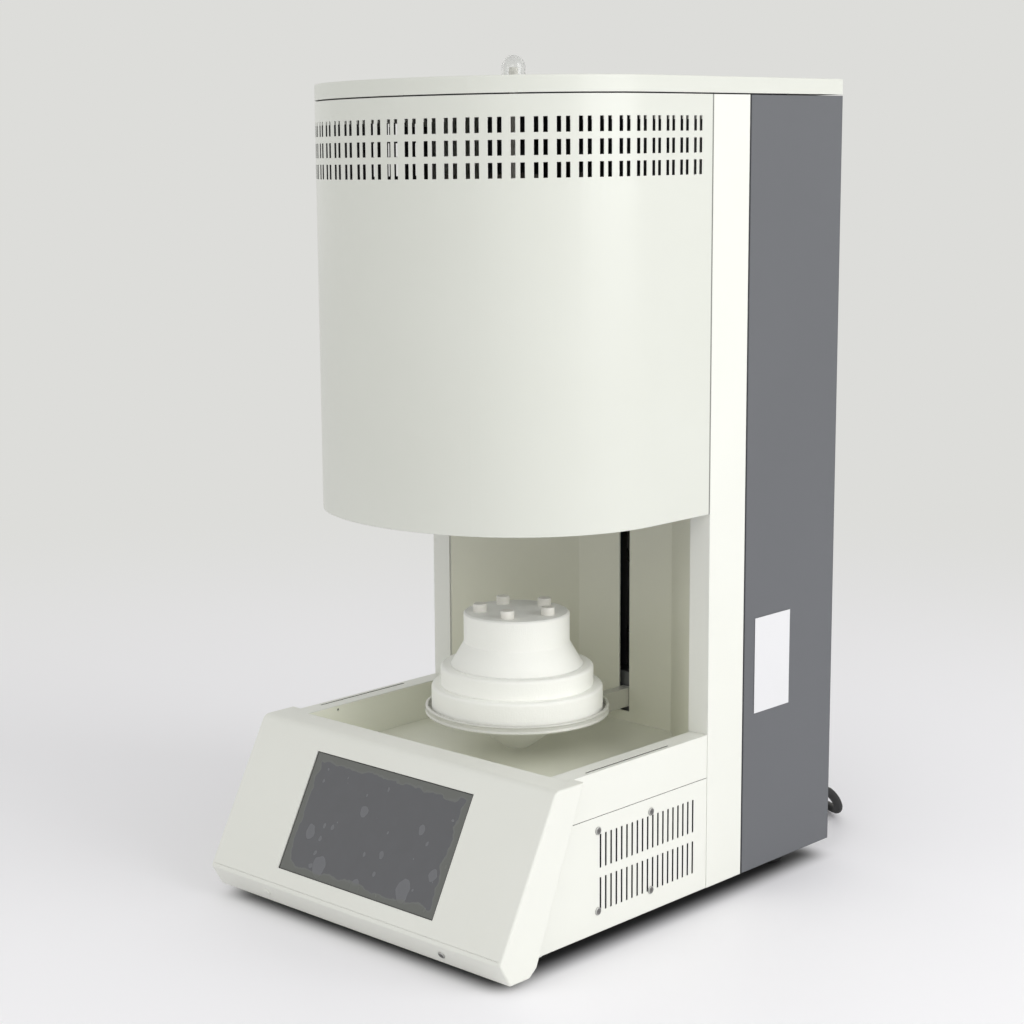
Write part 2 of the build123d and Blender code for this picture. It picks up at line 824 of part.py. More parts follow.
def rear_panel():
    """The flat back of the column, with two fields of slots, the switch and the cable gland."""
    panel = slab(-base_inner, base_inner, rear_panel_front, rear_panel_front + sheet,
                 base_z + 2 * sheet, body_top - sheet)
    middle = rear_panel_front + sheet / 2
    cutters = []
    for field in louvre_fields:
        for i in range(louvre_count):
            z = base_z + field + i * louvre_pitch
            cutters.append(Pos(0, middle, z) * Box(louvre_width, cut_depth, louvre_height))
    cutters.append(Pos(-switch_x, middle, base_z + switch_z) * Box(switch_width, cut_depth, switch_height))
    cutters.append(lengthwise(gland_x, middle - cut_depth, middle + cut_depth, base_z + gland_z,
                              gland_thread))
    return panel - cutters - rear_screw_holes()


def top_cover():
    """The shallow cover over drum and column."""
    outer = Pos(0, 0, cover_z) * extrude(body_outline(0, column_rear), cover_skirt)
    outer = fillet(outer.faces().sort_by(Axis.Z)[-1].edges(), cover_edge_radius)
    inner = Pos(0, 0, cover_z) * extrude(body_outline(sheet, column_rear - sheet), cover_skirt - sheet)
    top = cover_z + cover_skirt
    low = top - cut_depth
    high = top + overshoot
    probe_hole = upright(0, axis_y, low, high, probe_radius + probe_hole_fit)
    holes = [upright(x, y, low, high, screw_shank_radius + screw_hole_fit)
             for x, y in cover_screw_places()]
    return outer - inner - probe_hole - holes


def roof_rail_places():
    return [column_face + roof_rail_front, column_face + roof_rail_rear]


def cover_screw_places():
    places = zip((cover_screw_front, cover_screw_rear), roof_rail_places())
    return [(side * (half_width - inset), y) for inset, y in places for side in (-1, 1)]


def roof_rails():
    """Two hat rails under the cover, which its screws go into."""
    top = cover_z + cover_skirt - sheet
    reach = inner_half - roof_rail_fit
    hole_radius = screw_shank_radius + screw_hole_fit
    rails = []
    for y in roof_rail_places():
        outer = slab(-reach, reach, y - roof_rail_half, y + roof_rail_half, body_top, top)
        room = roof_rail_half - sheet
        hollow = slab(-reach - overshoot, reach + overshoot, y - room, y + room,
                      body_top - overshoot, top - sheet)
        holes = [upright(x, row, top - cut_depth, top + overshoot, hole_radius)
                 for x, row in cover_screw_places() if row == y]
        rails.append(outer - hollow - holes)
    return Compound(children=rails)


def panel_screws():
    """The pan-head screws of the fan, the chin, the rear panel and the cover."""
    screws = [pan_head(base_half, y, z, 0, 90) for y, z in fan_screw_places()]
    screws += [pan_head(x, column_rear, z, -90) for x, z in rear_screw_places()]
    screws += [pan_head(x, y, cover_z + cover_skirt) for x, y in cover_screw_places()]
    for side in (-1, 1):
        seat = chin_screw_place() if side > 0 else Pos(-2 * chin_screw_x, 0, 0) * chin_screw_place()
        screws.append(seat * pan_head(0, 0, 0))
    return Compound(children=screws)


# Drum and firing chamber

def drum_shell():
    """The curved front housing with a band of small upright cut-outs near its top."""
    bottom = base_z + drum_bottom
    wall = body_ring(0, sheet, bottom, body_top)
    lip = body_ring(sheet, sheet + drum_lip, bottom, bottom + sheet)
    top_lip = body_ring(sheet, sheet + drum_lip, body_top - sheet, body_top)
    top_row = base_z + cover_height - vent_row_drop
    cutters = []
    for column in range(vent_columns):
        distance = (column - (vent_columns - 1) / 2) * vent_pitch
        for shift in (-vent_spacing / 2, vent_spacing / 2):
            x, y, turn = drum_station(distance + shift)
            for row in range(vent_row_count):
                place = Pos(x, y, top_row - row * vent_row_pitch) * Rot(0, 0, turn)
                cutters.append(place * Box(vent_width, cut_depth, vent_height))
    return wall - cutters + lip + top_lip


def chamber_deck():
    """The steel deck that closes the drum's underside and carries the insulation."""
    front = body_outline(sheet + side_gap, column_face + overshoot)
    deck = Pos(0, 0, deck_z) * extrude(front, deck_thickness)
    keep = slab(-half_width, half_width, -console_reach, column_face, deck_z, deck_z + deck_thickness)
    rear_edge = mast_y + mast_thickness
    rear = slab(-strip_inner + side_gap, strip_inner - side_gap, column_face - overshoot, rear_edge,
                deck_z, deck_z + deck_thickness)
    mouth = upright(0, axis_y, deck_z - overshoot, deck_z + deck_thickness + overshoot,
                    plug_base_radius + mouth_clearance)
    return (deck & keep) + rear - mouth


def upright_ring(z0, z1, outer, inner):
    """A ring round the chamber's axis."""
    return upright(0, axis_y, z0, z1, outer) - upright(0, axis_y, z0 - overshoot, z1 + overshoot, inner)


def chamber_can():
    """The thin steel can round the insulation."""
    return upright_ring(wool_z, wool_z + can_height, can_radius, can_radius - can_sheet)


def mouth_lower_ring():
    """The lowest fibre ring, which takes the plug's lowest board when the table is up."""
    return upright_ring(wool_z, first_step_z, wool_radius, plug_base_radius + mouth_clearance)


def mouth_middle_ring():
    """The second fibre ring, round the plug's second board."""
    return upright_ring(first_step_z, second_step_z, wool_radius, plug_middle_radius + mouth_clearance)


def mouth_throat_ring():
    """The third fibre ring, whose bore follows the plug's cone and neck."""
    cone = plug_cone_radius + mouth_clearance
    neck = plug_neck_radius + mouth_clearance
    neck_z = base_z + plug_neck_height + lift_travel
    top = wool_z + mouth_height
    return turned([(cone, second_step_z), (wool_radius, second_step_z), (wool_radius, top), (neck, top),
                   (neck, neck_z)])


def hot_face_ring():
    """The dense inner ring round the firing space."""
    return upright_ring(wool_z + mouth_height, lid_z, hot_face_radius, chamber_radius)


def outer_insulation_ring():
    """The light outer ring between the dense one and the can."""
    return upright_ring(wool_z + mouth_height, lid_z, wool_radius, hot_face_radius + wool_fit)


def element_turns():
    return [45 + 90 * i for i in range(4)]


def leg_places():
    """The plan positions of both legs of every heating element."""
    places = []
    for turn in element_turns():
        a = math.radians(turn)
        for side in (-1, 1):
            x = element_pitch_radius * math.cos(a) - side * element_half_span * math.sin(a)
            y = element_pitch_radius * math.sin(a) + side * element_half_span * math.cos(a)
            places.append((x, axis_y + y))
    return places


def insulation_lid():
    """The fibre lid that the heating elements and the probe hang through."""
    lid = upright(0, axis_y, lid_z, can_top, wool_radius)
    low = lid_z - overshoot
    high = can_top + overshoot
    holes = [upright(x, y, low, high, terminal_radius + wool_fit) for x, y in leg_places()]
    return lid - holes - upright(0, axis_y, low, high, probe_radius + wool_fit)


def element_place(turn):
    """The place of one heating element on the ring of four."""
    return Pos(0, axis_y, 0) * Rot(0, 0, turn - 90) * Pos(0, element_pitch_radius, 0)


def heating_elements():
    """Four hairpin heating elements: thin hot loops under thick terminals."""
    span = element_half_span
    start_z = lid_z - terminal_drop + overshoot
    bend_z = wool_z + mouth_height + element_clear + span
    fall = Line((-span, 0, start_z), (-span, 0, bend_z))
    arc = ThreePointArc((-span, 0, bend_z), (0, 0, bend_z - span), (span, 0, bend_z))
    rise = Line((span, 0, bend_z), (span, 0, start_z))
    hairpin = Wire(fall.edges() + arc.edges() + rise.edges())
    start = Plane(origin=(-span, 0, start_z), z_dir=(0, 0, -1))
    loop = sweep(start * Circle(element_radius), path=hairpin)
    terminals = [upright(x, 0, lid_z - terminal_drop, can_top + terminal_rise, terminal_radius)
                 for x in (-span, span)]
    element = loop + terminals
    return Compound(children=[element_place(turn) * element for turn in element_turns()])


def element_clamps():
    """A ceramic holder on the lid for each heating element."""
    width = 2 * (element_half_span + terminal_radius + clamp_margin)
    depth = 2 * (terminal_radius + clamp_margin)
    block = Pos(0, 0, can_top + clamp_height / 2) * Box(width, depth, clamp_height)
    low = can_top - overshoot
    high = can_top + clamp_height + overshoot
    holes = [upright(x, 0, low, high, terminal_radius + wool_fit)
             for x in (-element_half_span, element_half_span)]
    clamp = block - holes
    return Compound(children=[element_place(turn) * clamp for turn in element_turns()])


def strap_between(start, end):
    """A flat strap with a hole at each end, on top of the element holders."""
    bottom = can_top + clamp_height
    top = bottom + strap_thickness
    turn = math.degrees(math.atan2(end[1] - start[1], end[0] - start[0]))
    width = 2 * (terminal_radius + strap_margin)
    middle = Pos((start[0] + end[0]) / 2, (start[1] + end[1]) / 2, (bottom + top) / 2)
    bar = middle * Rot(0, 0, turn) * Box(math.dist(start, end) + width, width, strap_thickness)
    holes = [upright(x, y, bottom - overshoot, top + overshoot, terminal_radius + wool_fit)
             for x, y in (start, end)]
    return bar - holes


def terminal_straps():
    """Three straps that join the elements in a row, and the two supply lugs."""
    legs = leg_places()
    straps = [strap_between(legs[i], legs[i + 1]) for i in (1, 3, 5)]
    lugs = [strap_between(leg, (leg[0] + lug_length, leg[1])) for leg in (legs[0], legs[7])]
    return Compound(children=straps + lugs)


def temperature_probe():
    """The sheathed probe, hung by its collar through lid and cover."""
    high = cover_z + cover_skirt + dome_height - dome_radius
    tube = upright(0, axis_y, lid_z - probe_reach, high, probe_radius)
    return tube + upright(0, axis_y, can_top, can_top + probe_collar_height, probe_collar)


def probe_dome():
    """The clear cap over the probe's end, on top of the cover."""
    bottom = cover_z + cover_skirt
    shoulder = bottom + dome_height - dome_radius
    outer = upright(0, axis_y, bottom, shoulder, dome_radius)
    outer += Pos(0, axis_y, shoulder) * Sphere(dome_radius)
    outer += upright(0, axis_y, bottom, bottom + dome_flange_height, dome_radius + dome_flange)
    inside = dome_radius - dome_wall
    hollow = upright(0, axis_y, bottom - overshoot, shoulder, inside)
    return outer - hollow - Pos(0, axis_y, shoulder) * Sphere(inside)


# Lift

def support_dish():
    """The spun steel dish under the fibre plug, with a bead along its foot and its rim."""
    low = base_z + dish_underside
    rim = base_z + dish_rim_height
    wall = dish_radius - dish_bead
    inside = dish_radius - dish_bead - dish_wall
    bead = dish_bead_height
    profile = [
        (0, low), (wall, low), (dish_radius, low + dish_bead), (dish_radius, low + bead),
        (wall, low + bead + dish_bead), (wall, rim - bead - dish_bead), (dish_radius, rim - bead),
        (dish_radius, rim - dish_bead), (wall, rim), (inside, rim), (inside, base_z + dish_floor),
        (0, base_z + dish_floor),
    ]
    return turned(profile)


def dish_hub():
    """The tapered hub that joins the dish to the arm."""
    high = base_z + dish_underside
    low = base_z + hub_foot_height
    hub = turned([(0, low), (hub_foot_radius, low), (hub_radius, high), (0, high)])
    return hub - lift_arm()


def lift_arm():
    """The flat arm that carries the table through the slot."""
    half = arm_width / 2
    return slab(-half, half, axis_y - arm_nose, carriage_y, base_z + arm_bottom, base_z + arm_top)


def plug_base():
    """The lowest board of the fibre plug."""
    disc = upright(0, axis_y, base_z + dish_floor, base_z + plug_base_top, plug_base_radius)
    return fillet(disc.edges().sort_by(Axis.Z)[-1], board_edge)


def plug_middle():
    """The second board of the fibre plug."""
    disc = upright(0, axis_y, base_z + plug_base_top, base_z + plug_middle_top, plug_middle_radius)
    return fillet(disc.edges().sort_by(Axis.Z)[-1], board_edge)


def plug_top():
    """The conical top of the plug, on which the work is fired."""
    profile = [
        (0, base_z + plug_middle_top),
        (plug_cone_radius, base_z + plug_middle_top),
        (plug_neck_radius, base_z + plug_neck_height),
        (plug_neck_radius, base_z + plug_top_height - plug_top_bevel),
        (plug_neck_radius - plug_top_bevel, base_z + plug_top_height),
        (0, base_z + plug_top_height),
    ]
    return turned(profile)


def support_pegs():
    """The ring of short pegs that a crucible stands on."""
    low = base_z + plug_top_height
    pegs = []
    for i in range(peg_count):
        a = math.radians(peg_turn + 360 * i / peg_count)
        x = peg_circle * math.cos(a)
        y = axis_y + peg_circle * math.sin(a)
        peg = upright(x, y, low, low + peg_height, peg_radius)
        pegs.append(chamfer(peg.edges().sort_by(Axis.Z)[-1], peg_bevel))
    return Compound(children=pegs)


def lift_carriage():
    """The plate behind the bay that the arm, the rail block and the nut are fixed to."""
    right = screw_x + nut_half + carriage_margin
    return slab(-mast_centre - mast_half, right, carriage_y, carriage_y + carriage_thickness,
                base_z + carriage_bottom, base_z + carriage_top)


def rail_block():
    """The runner on the rail, bolted to the carriage."""
    front = carriage_y + carriage_thickness
    block = slab(-rail_centre - rail_block_half, -rail_centre + rail_block_half, front,
                 column_face + rail_block_back, base_z + carriage_bottom + rail_block_inset,
                 base_z + carriage_top - rail_block_inset)
    rail_front = mast_y - rail_depth
    half = rail_half + rail_clearance
    groove = slab(-rail_centre - half, -rail_centre + half, rail_front - rail_clearance, mast_y,
                  base_z, deck_z)
    return block - groove


def lift_nut():
    """The square nut on the lead screw, bolted to the carriage."""
    front = carriage_y + carriage_thickness
    block = slab(screw_x - nut_half, screw_x + nut_half, front, screw_axis_y + nut_half,
                 base_z + nut_bottom, base_z + nut_top)
    return block - upright(screw_x, screw_axis_y, base_z, deck_z, screw_radius + running_clearance)


def lift_mast():
    """The flat mast behind the bay, from the pan to the deck, with a foot on the pan."""
    low = base_z + sheet
    left = -mast_centre - mast_half
    right = -mast_centre + mast_half
    plate = slab(left, right, mast_y, mast_y + mast_thickness, low, deck_z)
    foot = slab(left, right, mast_y - mast_foot, mast_y, low, low + mast_thickness)
    return plate + foot


def lift_rail():
    """The guide rail on the mast."""
    return slab(-rail_centre - rail_half, -rail_centre + rail_half, mast_y - rail_depth, mast_y,
                base_z + rail_bottom, deck_z - sheet)


def screw_top_bearing():
    """The upper bearing block of the lead screw, under the deck."""
    block = slab(screw_x - nut_half, screw_x + nut_half, screw_axis_y - nut_half, screw_axis_y + nut_half,
                 deck_z - top_bearing_depth, deck_z)
    return block - upright(screw_x, screw_axis_y, base_z, deck_z - bearing_cap,
                           screw_radius + running_clearance)


def motor_bracket():
    """The bridge on the pan that holds the lift motor."""
    low = base_z + sheet
    top = base_z + motor_top
    inside = motor_size / 2 + bracket_fit
    outside = inside + bracket_leg
    y0 = screw_axis_y - motor_size / 2
    y1 = screw_axis_y + motor_size / 2
    plate = slab(screw_x - outside, screw_x + outside, y0, y1, top, top + bracket_sheet)
    legs = [slab(screw_x - outside, screw_x - inside, y0, y1, low, top),
            slab(screw_x + inside, screw_x + outside, y0, y1, low, top)]
    hole = upright(screw_x, screw_axis_y, top - overshoot, top + bracket_sheet + overshoot,
                   motor_shaft_radius + overshoot)
    return plate + legs - hole


def lift_motor():
    """The square stepping motor under the bracket."""
    top = base_z + motor_top
    half = motor_size / 2
    body = slab(screw_x - half, screw_x + half, screw_axis_y - half, screw_axis_y + half,
                top - motor_length, top)
    body = fillet(body.edges().filter_by(Axis.Z), motor_corner)
    return body - upright(screw_x, screw_axis_y, top - motor_bore, top + overshoot,
                          motor_shaft_radius + running_clearance)


def lead_screw():
    """The lead screw, from the coupling to the bearing under the deck."""
    low = base_z + (coupling_bottom + coupling_top) / 2
    return upright(screw_x, screw_axis_y, low, deck_z - bearing_cap - side_gap, screw_radius)


def motor_shaft():
    """The motor's shaft, from inside the motor into the coupling."""
    middle = base_z + (coupling_bottom + coupling_top) / 2
    low = base_z + motor_top - motor_bore + side_gap
    return upright(screw_x, screw_axis_y, low, middle, motor_shaft_radius)


def shaft_coupling():
    """The sleeve that joins the motor's shaft to the lead screw."""
    low = base_z + coupling_bottom
    high = base_z + coupling_top
    middle = (low + high) / 2
    sleeve = upright(screw_x, screw_axis_y, low, high, coupling_radius)
    shaft_bore = upright(screw_x, screw_axis_y, low - overshoot, middle,
                         motor_shaft_radius + running_clearance)
    screw_bore = upright(screw_x, screw_axis_y, middle, high + overshoot,
                         screw_radius + running_clearance)
    return sleeve - shaft_bore - screw_bore


# Electrical parts

def transformer_core():
    """The laminated core with its two windows."""
    low = base_z + sheet
    x = transformer_x
    y = column_face - transformer_y
    block = slab(x - core_width / 2, x + core_width / 2, y - core_depth / 2, y + core_depth / 2,
                 low, low + core_height)
    window_width = (core_width - 3 * core_leg) / 2
    window = Box(window_width, core_depth + 2 * overshoot, core_height - 2 * core_leg)
    windows = [Pos(x + side * (core_leg + window_width) / 2, y, low + core_height / 2) * window
               for side in (-1, 1)]
    return block - windows


def transformer_coil():
    """The winding round the core's middle leg."""
    low = base_z + sheet + core_leg
    high = base_z + sheet + core_height - core_leg
    x = transformer_x
    y = column_face - transformer_y
    window_width = (core_width - 3 * core_leg) / 2
    half = core_leg / 2 + window_width - coil_fit
    middle = Pos(x, y, (low + high) / 2)
    winding = middle * Box(2 * half, coil_depth, high - low)
    winding = fillet(winding.edges().filter_by(Axis.Z), coil_corner)
    room = Box(core_leg + 2 * coil_fit, core_depth + 2 * coil_fit, high - low + 2 * overshoot)
    return winding - middle * room


def control_board():
    """The control board on its standoffs, with its larger parts."""
    low = base_z + sheet
    y = column_face - board_y
    half_x = board_width / 2
    half_y = board_length / 2
    bottom = low + standoff
    top = bottom + board_sheet
    board = slab(board_x - half_x, board_x + half_x, y - half_y, y + half_y, bottom, top)
    reach_x = half_x - standoff_inset
    reach_y = half_y - standoff_inset
    legs = [upright(board_x + i * reach_x, y + j * reach_y, low, bottom, standoff_radius)
            for i in (-1, 1) for j in (-1, 1)]
    parts = [slab(board_x + x0, board_x + x1, y + y0, y + y1, top, top + height)
             for x0, x1, y0, y1, height in board_parts]
    return board + legs + parts


def power_switch():
    """The mains switch's housing, clipped into the rear panel."""
    z = base_z + switch_z
    half_x = switch_width / 2 - switch_fit
    half_z = switch_height / 2 - switch_fit
    left = -switch_x - half_x
    right = -switch_x + half_x
    wall = switch_wall
    case = slab(left, right, panel_back - switch_depth, panel_back, z - half_z, z + half_z)
    bezel = slab(left - wall, right + wall, panel_back, panel_back + switch_bezel, z - half_z - wall,
                 z + half_z + wall)
    well = slab(left + wall, right - wall, panel_back - switch_well, panel_back + 2 * switch_bezel,
                z - half_z + wall, z + half_z - wall)
    pin_hole = crosswise(left + pin_wall, right - pin_wall, panel_back - rocker_pin_depth, z,
                         rocker_pin + running_clearance)
    return case + bezel - well - pin_hole


def power_rocker():
    """The rocker on its pin."""
    z = base_z + switch_z
    y = panel_back - rocker_pin_depth
    half = switch_width / 2 - switch_fit - switch_wall - rocker_side_gap
    section = make_face(Polyline(*[(y + dy, z + dz) for dy, dz in rocker_section], close=True))
    paddle = Pos(-switch_x - half, 0, 0) * extrude(Plane.YZ * section, 2 * half)
    pin = crosswise(-switch_x - half - pin_reach, -switch_x + half + pin_reach, y, z, rocker_pin)
    return (paddle + pin).rotate(Axis((-switch_x, y, z), (1, 0, 0)), -rocker_tilt)


def cable_gland():
    """The gland in the rear panel that the mains lead comes out of."""
    z = base_z + gland_z
    collar_end = panel_back + gland_collar_depth
    inside = lengthwise(gland_x, rear_panel_front - gland_inside, panel_back, z, gland_thread - side_gap)
    collar = lengthwise(gland_x, panel_back, collar_end, z, gland_collar)
    nose = lengthwise(gland_x, collar_end, column_rear + gland_reach, z, gland_nose)
    nose = chamfer(nose.edges().sort_by(Axis.Y)[-1], gland_bevel)
    return inside + collar + nose


# Mains lead

def route_radii(points):
    """The bend radius at each inner point: as large as its two runs allow."""
    radii = []
    for a, b, c in zip(points, points[1:], points[2:]):
        run_in = Vector(*b) - Vector(*a)
        run_out = Vector(*c) - Vector(*b)
        half_turn = math.radians(run_in.get_angle(run_out)) / 2
        radii.append(0.45 * min(run_in.length, run_out.length) / math.tan(half_turn))
    return radii


def cord_lead():
    """The stretch of lead between the gland and the coil."""
    path = FilletPolyline(*cord_route, radius=route_radii(cord_route))
    start = Plane(origin=cord_route[0], z_dir=Vector(*cord_route[1]) - Vector(*cord_route[0]))
    return sweep(start * Circle(cord_diameter / 2), path=path)


def cord_coil():
    """The outer shape of the coiled length, with the lead laid into it."""
    x, y = coil_centre
    half_band = coil_rows * cord_diameter / 2
    height = coil_layers * cord_diameter
    middle = coil_mid_diameter / 2
    hole = upright(x, y, -overshoot, height + overshoot, middle - half_band)
    return upright(x, y, 0, height, middle + half_band) - hole - cord_lead()


def mains_plug():
    """The moulded plug on top of the coil's turns, with three flat pins."""
    axis_z = coil_layers * cord_diameter + plug_height / 2
    body = Pos(0, 0, plug_neck + plug_length / 2) * Box(plug_height, plug_width, plug_length)
    body = fillet(body.edges().filter_by(Axis.Z), plug_corner)
    neck = Pos(0, 0, plug_neck / 2) * Cone(cord_diameter / 2 + neck_margin, neck_end, plug_neck)
    pin_z = plug_neck + plug_length + pin_length / 2
    pins = [Pos(up, across, pin_z) * Rot(0, 0, turn) * Box(pin_width, pin_thickness, pin_length)
            for turn, across, up in plug_pins]
    start = Pos(coil_centre[0] + plug_start, coil_centre[1] + plug_offset, axis_z)
    return start * Rot(0, -90, 0) * (body + neck + pins)


def build():
    right_post = column_post()
    right_side = side_panel()
    return {
        "base_pan": base_pan(),
        "rubber_feet": rubber_feet(),
        "bay_tray": bay_tray(),
        "front_console": front_console(),
        "screen_glass": screen_glass(),
        "display_module": display_module(),
        "left_vent_panel": mirrored(vent_panel(False)),
        "right_vent_panel": vent_panel(True),
        "fan_frame": fan_frame(),
        "fan_rotor": fan_rotor(),
        "left_column_post": mirrored(right_post),
        "right_column_post": right_post,
        "bay_back_panel": bay_back_panel(),
        "left_side_panel": mirrored(right_side),
        "right_side_panel": right_side,
        "rear_panel": rear_panel(),
        "top_cover": top_cover(),
        "roof_rails": roof_rails(),
        "panel_screws": panel_screws(),
        "drum_shell": drum_shell(),
        "chamber_deck": chamber_deck(),
        "chamber_can": chamber_can(),
        "mouth_lower_ring": mouth_lower_ring(),
        "mouth_middle_ring": mouth_middle_ring(),
        "mouth_throat_ring": mouth_throat_ring(),
        "hot_face_ring": hot_face_ring(),
        "outer_insulation_ring": outer_insulation_ring(),
        "insulation_lid": insulation_lid(),
        "heating_elements": heating_elements(),
        "element_clamps": element_clamps(),
        "terminal_straps": terminal_straps(),
        "temperature_probe": temperature_probe(),
        "probe_dome": probe_dome(),
        "support_dish": support_dish(),
        "dish_hub": dish_hub(),
        "lift_arm": lift_arm(),
        "plug_base": plug_base(),
        "plug_middle": plug_middle(),
        "plug_top": plug_top(),
        "support_pegs": support_pegs(),
        "lift_carriage": lift_carriage(),
        "rail_block": rail_block(),
        "lift_nut": lift_nut(),
        "lift_mast": lift_mast(),
        "lift_rail": lift_rail(),
        "screw_top_bearing": screw_top_bearing(),
        "motor_bracket": motor_bracket(),
        "lift_motor": lift_motor(),
        "lead_screw": lead_screw(),
        "motor_shaft": motor_shaft(),
        "shaft_coupling": shaft_coupling(),
        "transformer_core": transformer_core(),
        "transformer_coil": transformer_coil(),
        "control_board": control_board(),
        "power_switch": power_switch(),
        "power_rocker": power_rocker(),
        "cable_gland": cable_gland(),
        "cord_lead": cord_lead(),
        "cord_coil": cord_coil(),
        "mains_plug": mains_plug(),
    }


print("bend radii of the lead", [round(radius, 1) for radius in route_radii(cord_route)])
os.makedirs("parts", exist_ok=True)
for name, shape in build().items():
    export_step(shape, f"parts/{name}.step")
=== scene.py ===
# %% [markdown]
# # A bench sintering furnace
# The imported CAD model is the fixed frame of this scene: every node already has its true
# shape, place and size. This lesson dresses it: a camera and soft light first, then the
# finishes, and last the small pieces that a CAD part leaves out.

# %% Load the frame
import json
import math

import bpy
from mathutils import Matrix, Vector

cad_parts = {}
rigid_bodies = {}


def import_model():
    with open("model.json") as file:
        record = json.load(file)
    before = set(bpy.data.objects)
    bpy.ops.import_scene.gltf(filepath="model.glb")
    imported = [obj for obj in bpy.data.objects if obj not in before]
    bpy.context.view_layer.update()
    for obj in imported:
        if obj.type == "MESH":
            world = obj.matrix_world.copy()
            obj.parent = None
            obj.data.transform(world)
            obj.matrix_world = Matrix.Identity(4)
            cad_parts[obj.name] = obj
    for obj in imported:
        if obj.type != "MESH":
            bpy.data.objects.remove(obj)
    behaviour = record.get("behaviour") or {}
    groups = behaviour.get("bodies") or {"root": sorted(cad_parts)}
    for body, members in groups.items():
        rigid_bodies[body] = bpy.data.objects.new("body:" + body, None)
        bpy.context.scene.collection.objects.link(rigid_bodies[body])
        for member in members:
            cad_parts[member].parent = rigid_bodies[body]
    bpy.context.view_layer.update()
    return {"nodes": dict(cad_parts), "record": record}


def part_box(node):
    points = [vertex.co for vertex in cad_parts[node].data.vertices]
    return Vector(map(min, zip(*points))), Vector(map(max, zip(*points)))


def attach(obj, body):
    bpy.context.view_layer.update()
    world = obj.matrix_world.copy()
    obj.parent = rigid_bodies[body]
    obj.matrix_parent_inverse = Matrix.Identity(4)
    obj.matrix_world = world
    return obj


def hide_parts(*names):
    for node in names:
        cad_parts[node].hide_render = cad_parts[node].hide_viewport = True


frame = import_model()

# %% [markdown]
# The camera stands to the right of the furnace and a little above its middle, as in the
# photograph. Its place and turn were solved from edges whose real sizes are known. A
# rotation matrix is built from the three directions, because that keeps the small roll
# that a track-to aim would lose. The shift is the part of the frame that was cropped away.

# %% Camera
image_size = 1024
sensor_width = 36.0
focal_pixels = 2088.8
optical_centre = (399.5, 518.7)
camera_place = Vector((1.2647, -1.4191, 0.6748))
camera_forward = Vector((-0.7018, 0.6913, -0.1720)).normalized()
camera_right = Vector((0.7036, 0.7105, -0.0152))
camera_right = (camera_right - camera_forward * camera_right.dot(camera_forward)).normalized()
camera_up = camera_right.cross(camera_forward)

camera_data = bpy.data.cameras.new("photo_camera")
camera_data.sensor_width = sensor_width
camera_data.lens = focal_pixels * sensor_width / image_size
camera_data.shift_x = (image_size / 2 - optical_centre[0]) / image_size
camera_data.shift_y = (optical_centre[1] - image_size / 2) / image_size
camera = bpy.data.objects.new("photo_camera", camera_data)
bpy.context.scene.collection.objects.link(camera)
turn = Matrix((camera_right, camera_up, -camera_forward)).transposed().to_4x4()
camera.matrix_world = Matrix.Translation(camera_place) @ turn
bpy.context.scene.camera = camera
print("lens", round(camera_data.lens, 1), "shift", round(camera_data.shift_x, 3))

# %% [markdown]
# Every finish below is built from the same few shader nodes. These helpers add one node
# each and give back its output, so a material reads almost like a sum. An input may be a
# plain value or the output of another node.

# %% Shader helpers


def linear(red, green, blue):
    """A colour written as 0 to 255 screen values, as the linear values that shaders use."""
    channels = [value / 255 for value in (red, green, blue)]
    return tuple(v / 12.92 if v <= 0.04045 else ((v + 0.055) / 1.055) ** 2.4 for v in channels) + (1.0,)


def join(tree, pairs):
    """Feed the second of each pair, an input, from the first, an output or a plain value."""
    for source, target in pairs:
        if isinstance(source, bpy.types.NodeSocket):
            tree.links.new(source, target)
        else:
            target.default_value = source


def one_math(tree, operation, *values):
    """One Math node."""
    node = tree.nodes.new("ShaderNodeMath")
    node.operation = operation
    join(tree, zip(values, node.inputs))
    return node.outputs[0]


def one_vector(tree, operation, *values):
    """One Vector Math node. A length or a dot product is a number and has its own output."""
    node = tree.nodes.new("ShaderNodeVectorMath")
    node.operation = operation
    join(tree, zip(values, node.inputs))
    return node.outputs["Value" if operation in ("LENGTH", "DOT_PRODUCT") else "Vector"]


def remap(tree, value, source=(0.0, 1.0), target=(0.0, 1.0), smooth=False):
    """One Map Range node, which stretches the source range onto the target range."""
    node = tree.nodes.new("ShaderNodeMapRange")
    if smooth:
        node.interpolation_type = "SMOOTHSTEP"
    ends = zip(("Value", "From Min", "From Max", "To Min", "To Max"), (value, *source, *target))
    join(tree, [(end, node.inputs[label]) for label, end in ends])
    return node.outputs["Result"]


def noise(tree, vector, scale, detail=2.0):
    """One noise texture. Its outputs give a value and a colour."""
    node = tree.nodes.new("ShaderNodeTexNoise")
    join(tree, [(vector, node.inputs["Vector"]), (scale, node.inputs["Scale"]),
                (detail, node.inputs["Detail"])])
    return node.outputs


def mix_colour(tree, factor, first, second):
    """One colour mix: the first colour where the factor is 0, the second where it is 1."""
    node = tree.nodes.new("ShaderNodeMix")
    node.data_type = "RGBA"
    join(tree, [(factor, node.inputs["Factor"]), (first, node.inputs[6]), (second, node.inputs[7])])
    return node.outputs[2]


def object_place(tree):
    """The place on the object, in metres, which doesn't move with the camera."""
    return tree.nodes.new("ShaderNodeTexCoord").outputs["Object"]


def axes_of(tree, vector):
    """The X, Y and Z of a vector."""
    node = tree.nodes.new("ShaderNodeSeparateXYZ")
    tree.links.new(vector, node.inputs["Vector"])
    return node.outputs["X"], node.outputs["Y"], node.outputs["Z"]


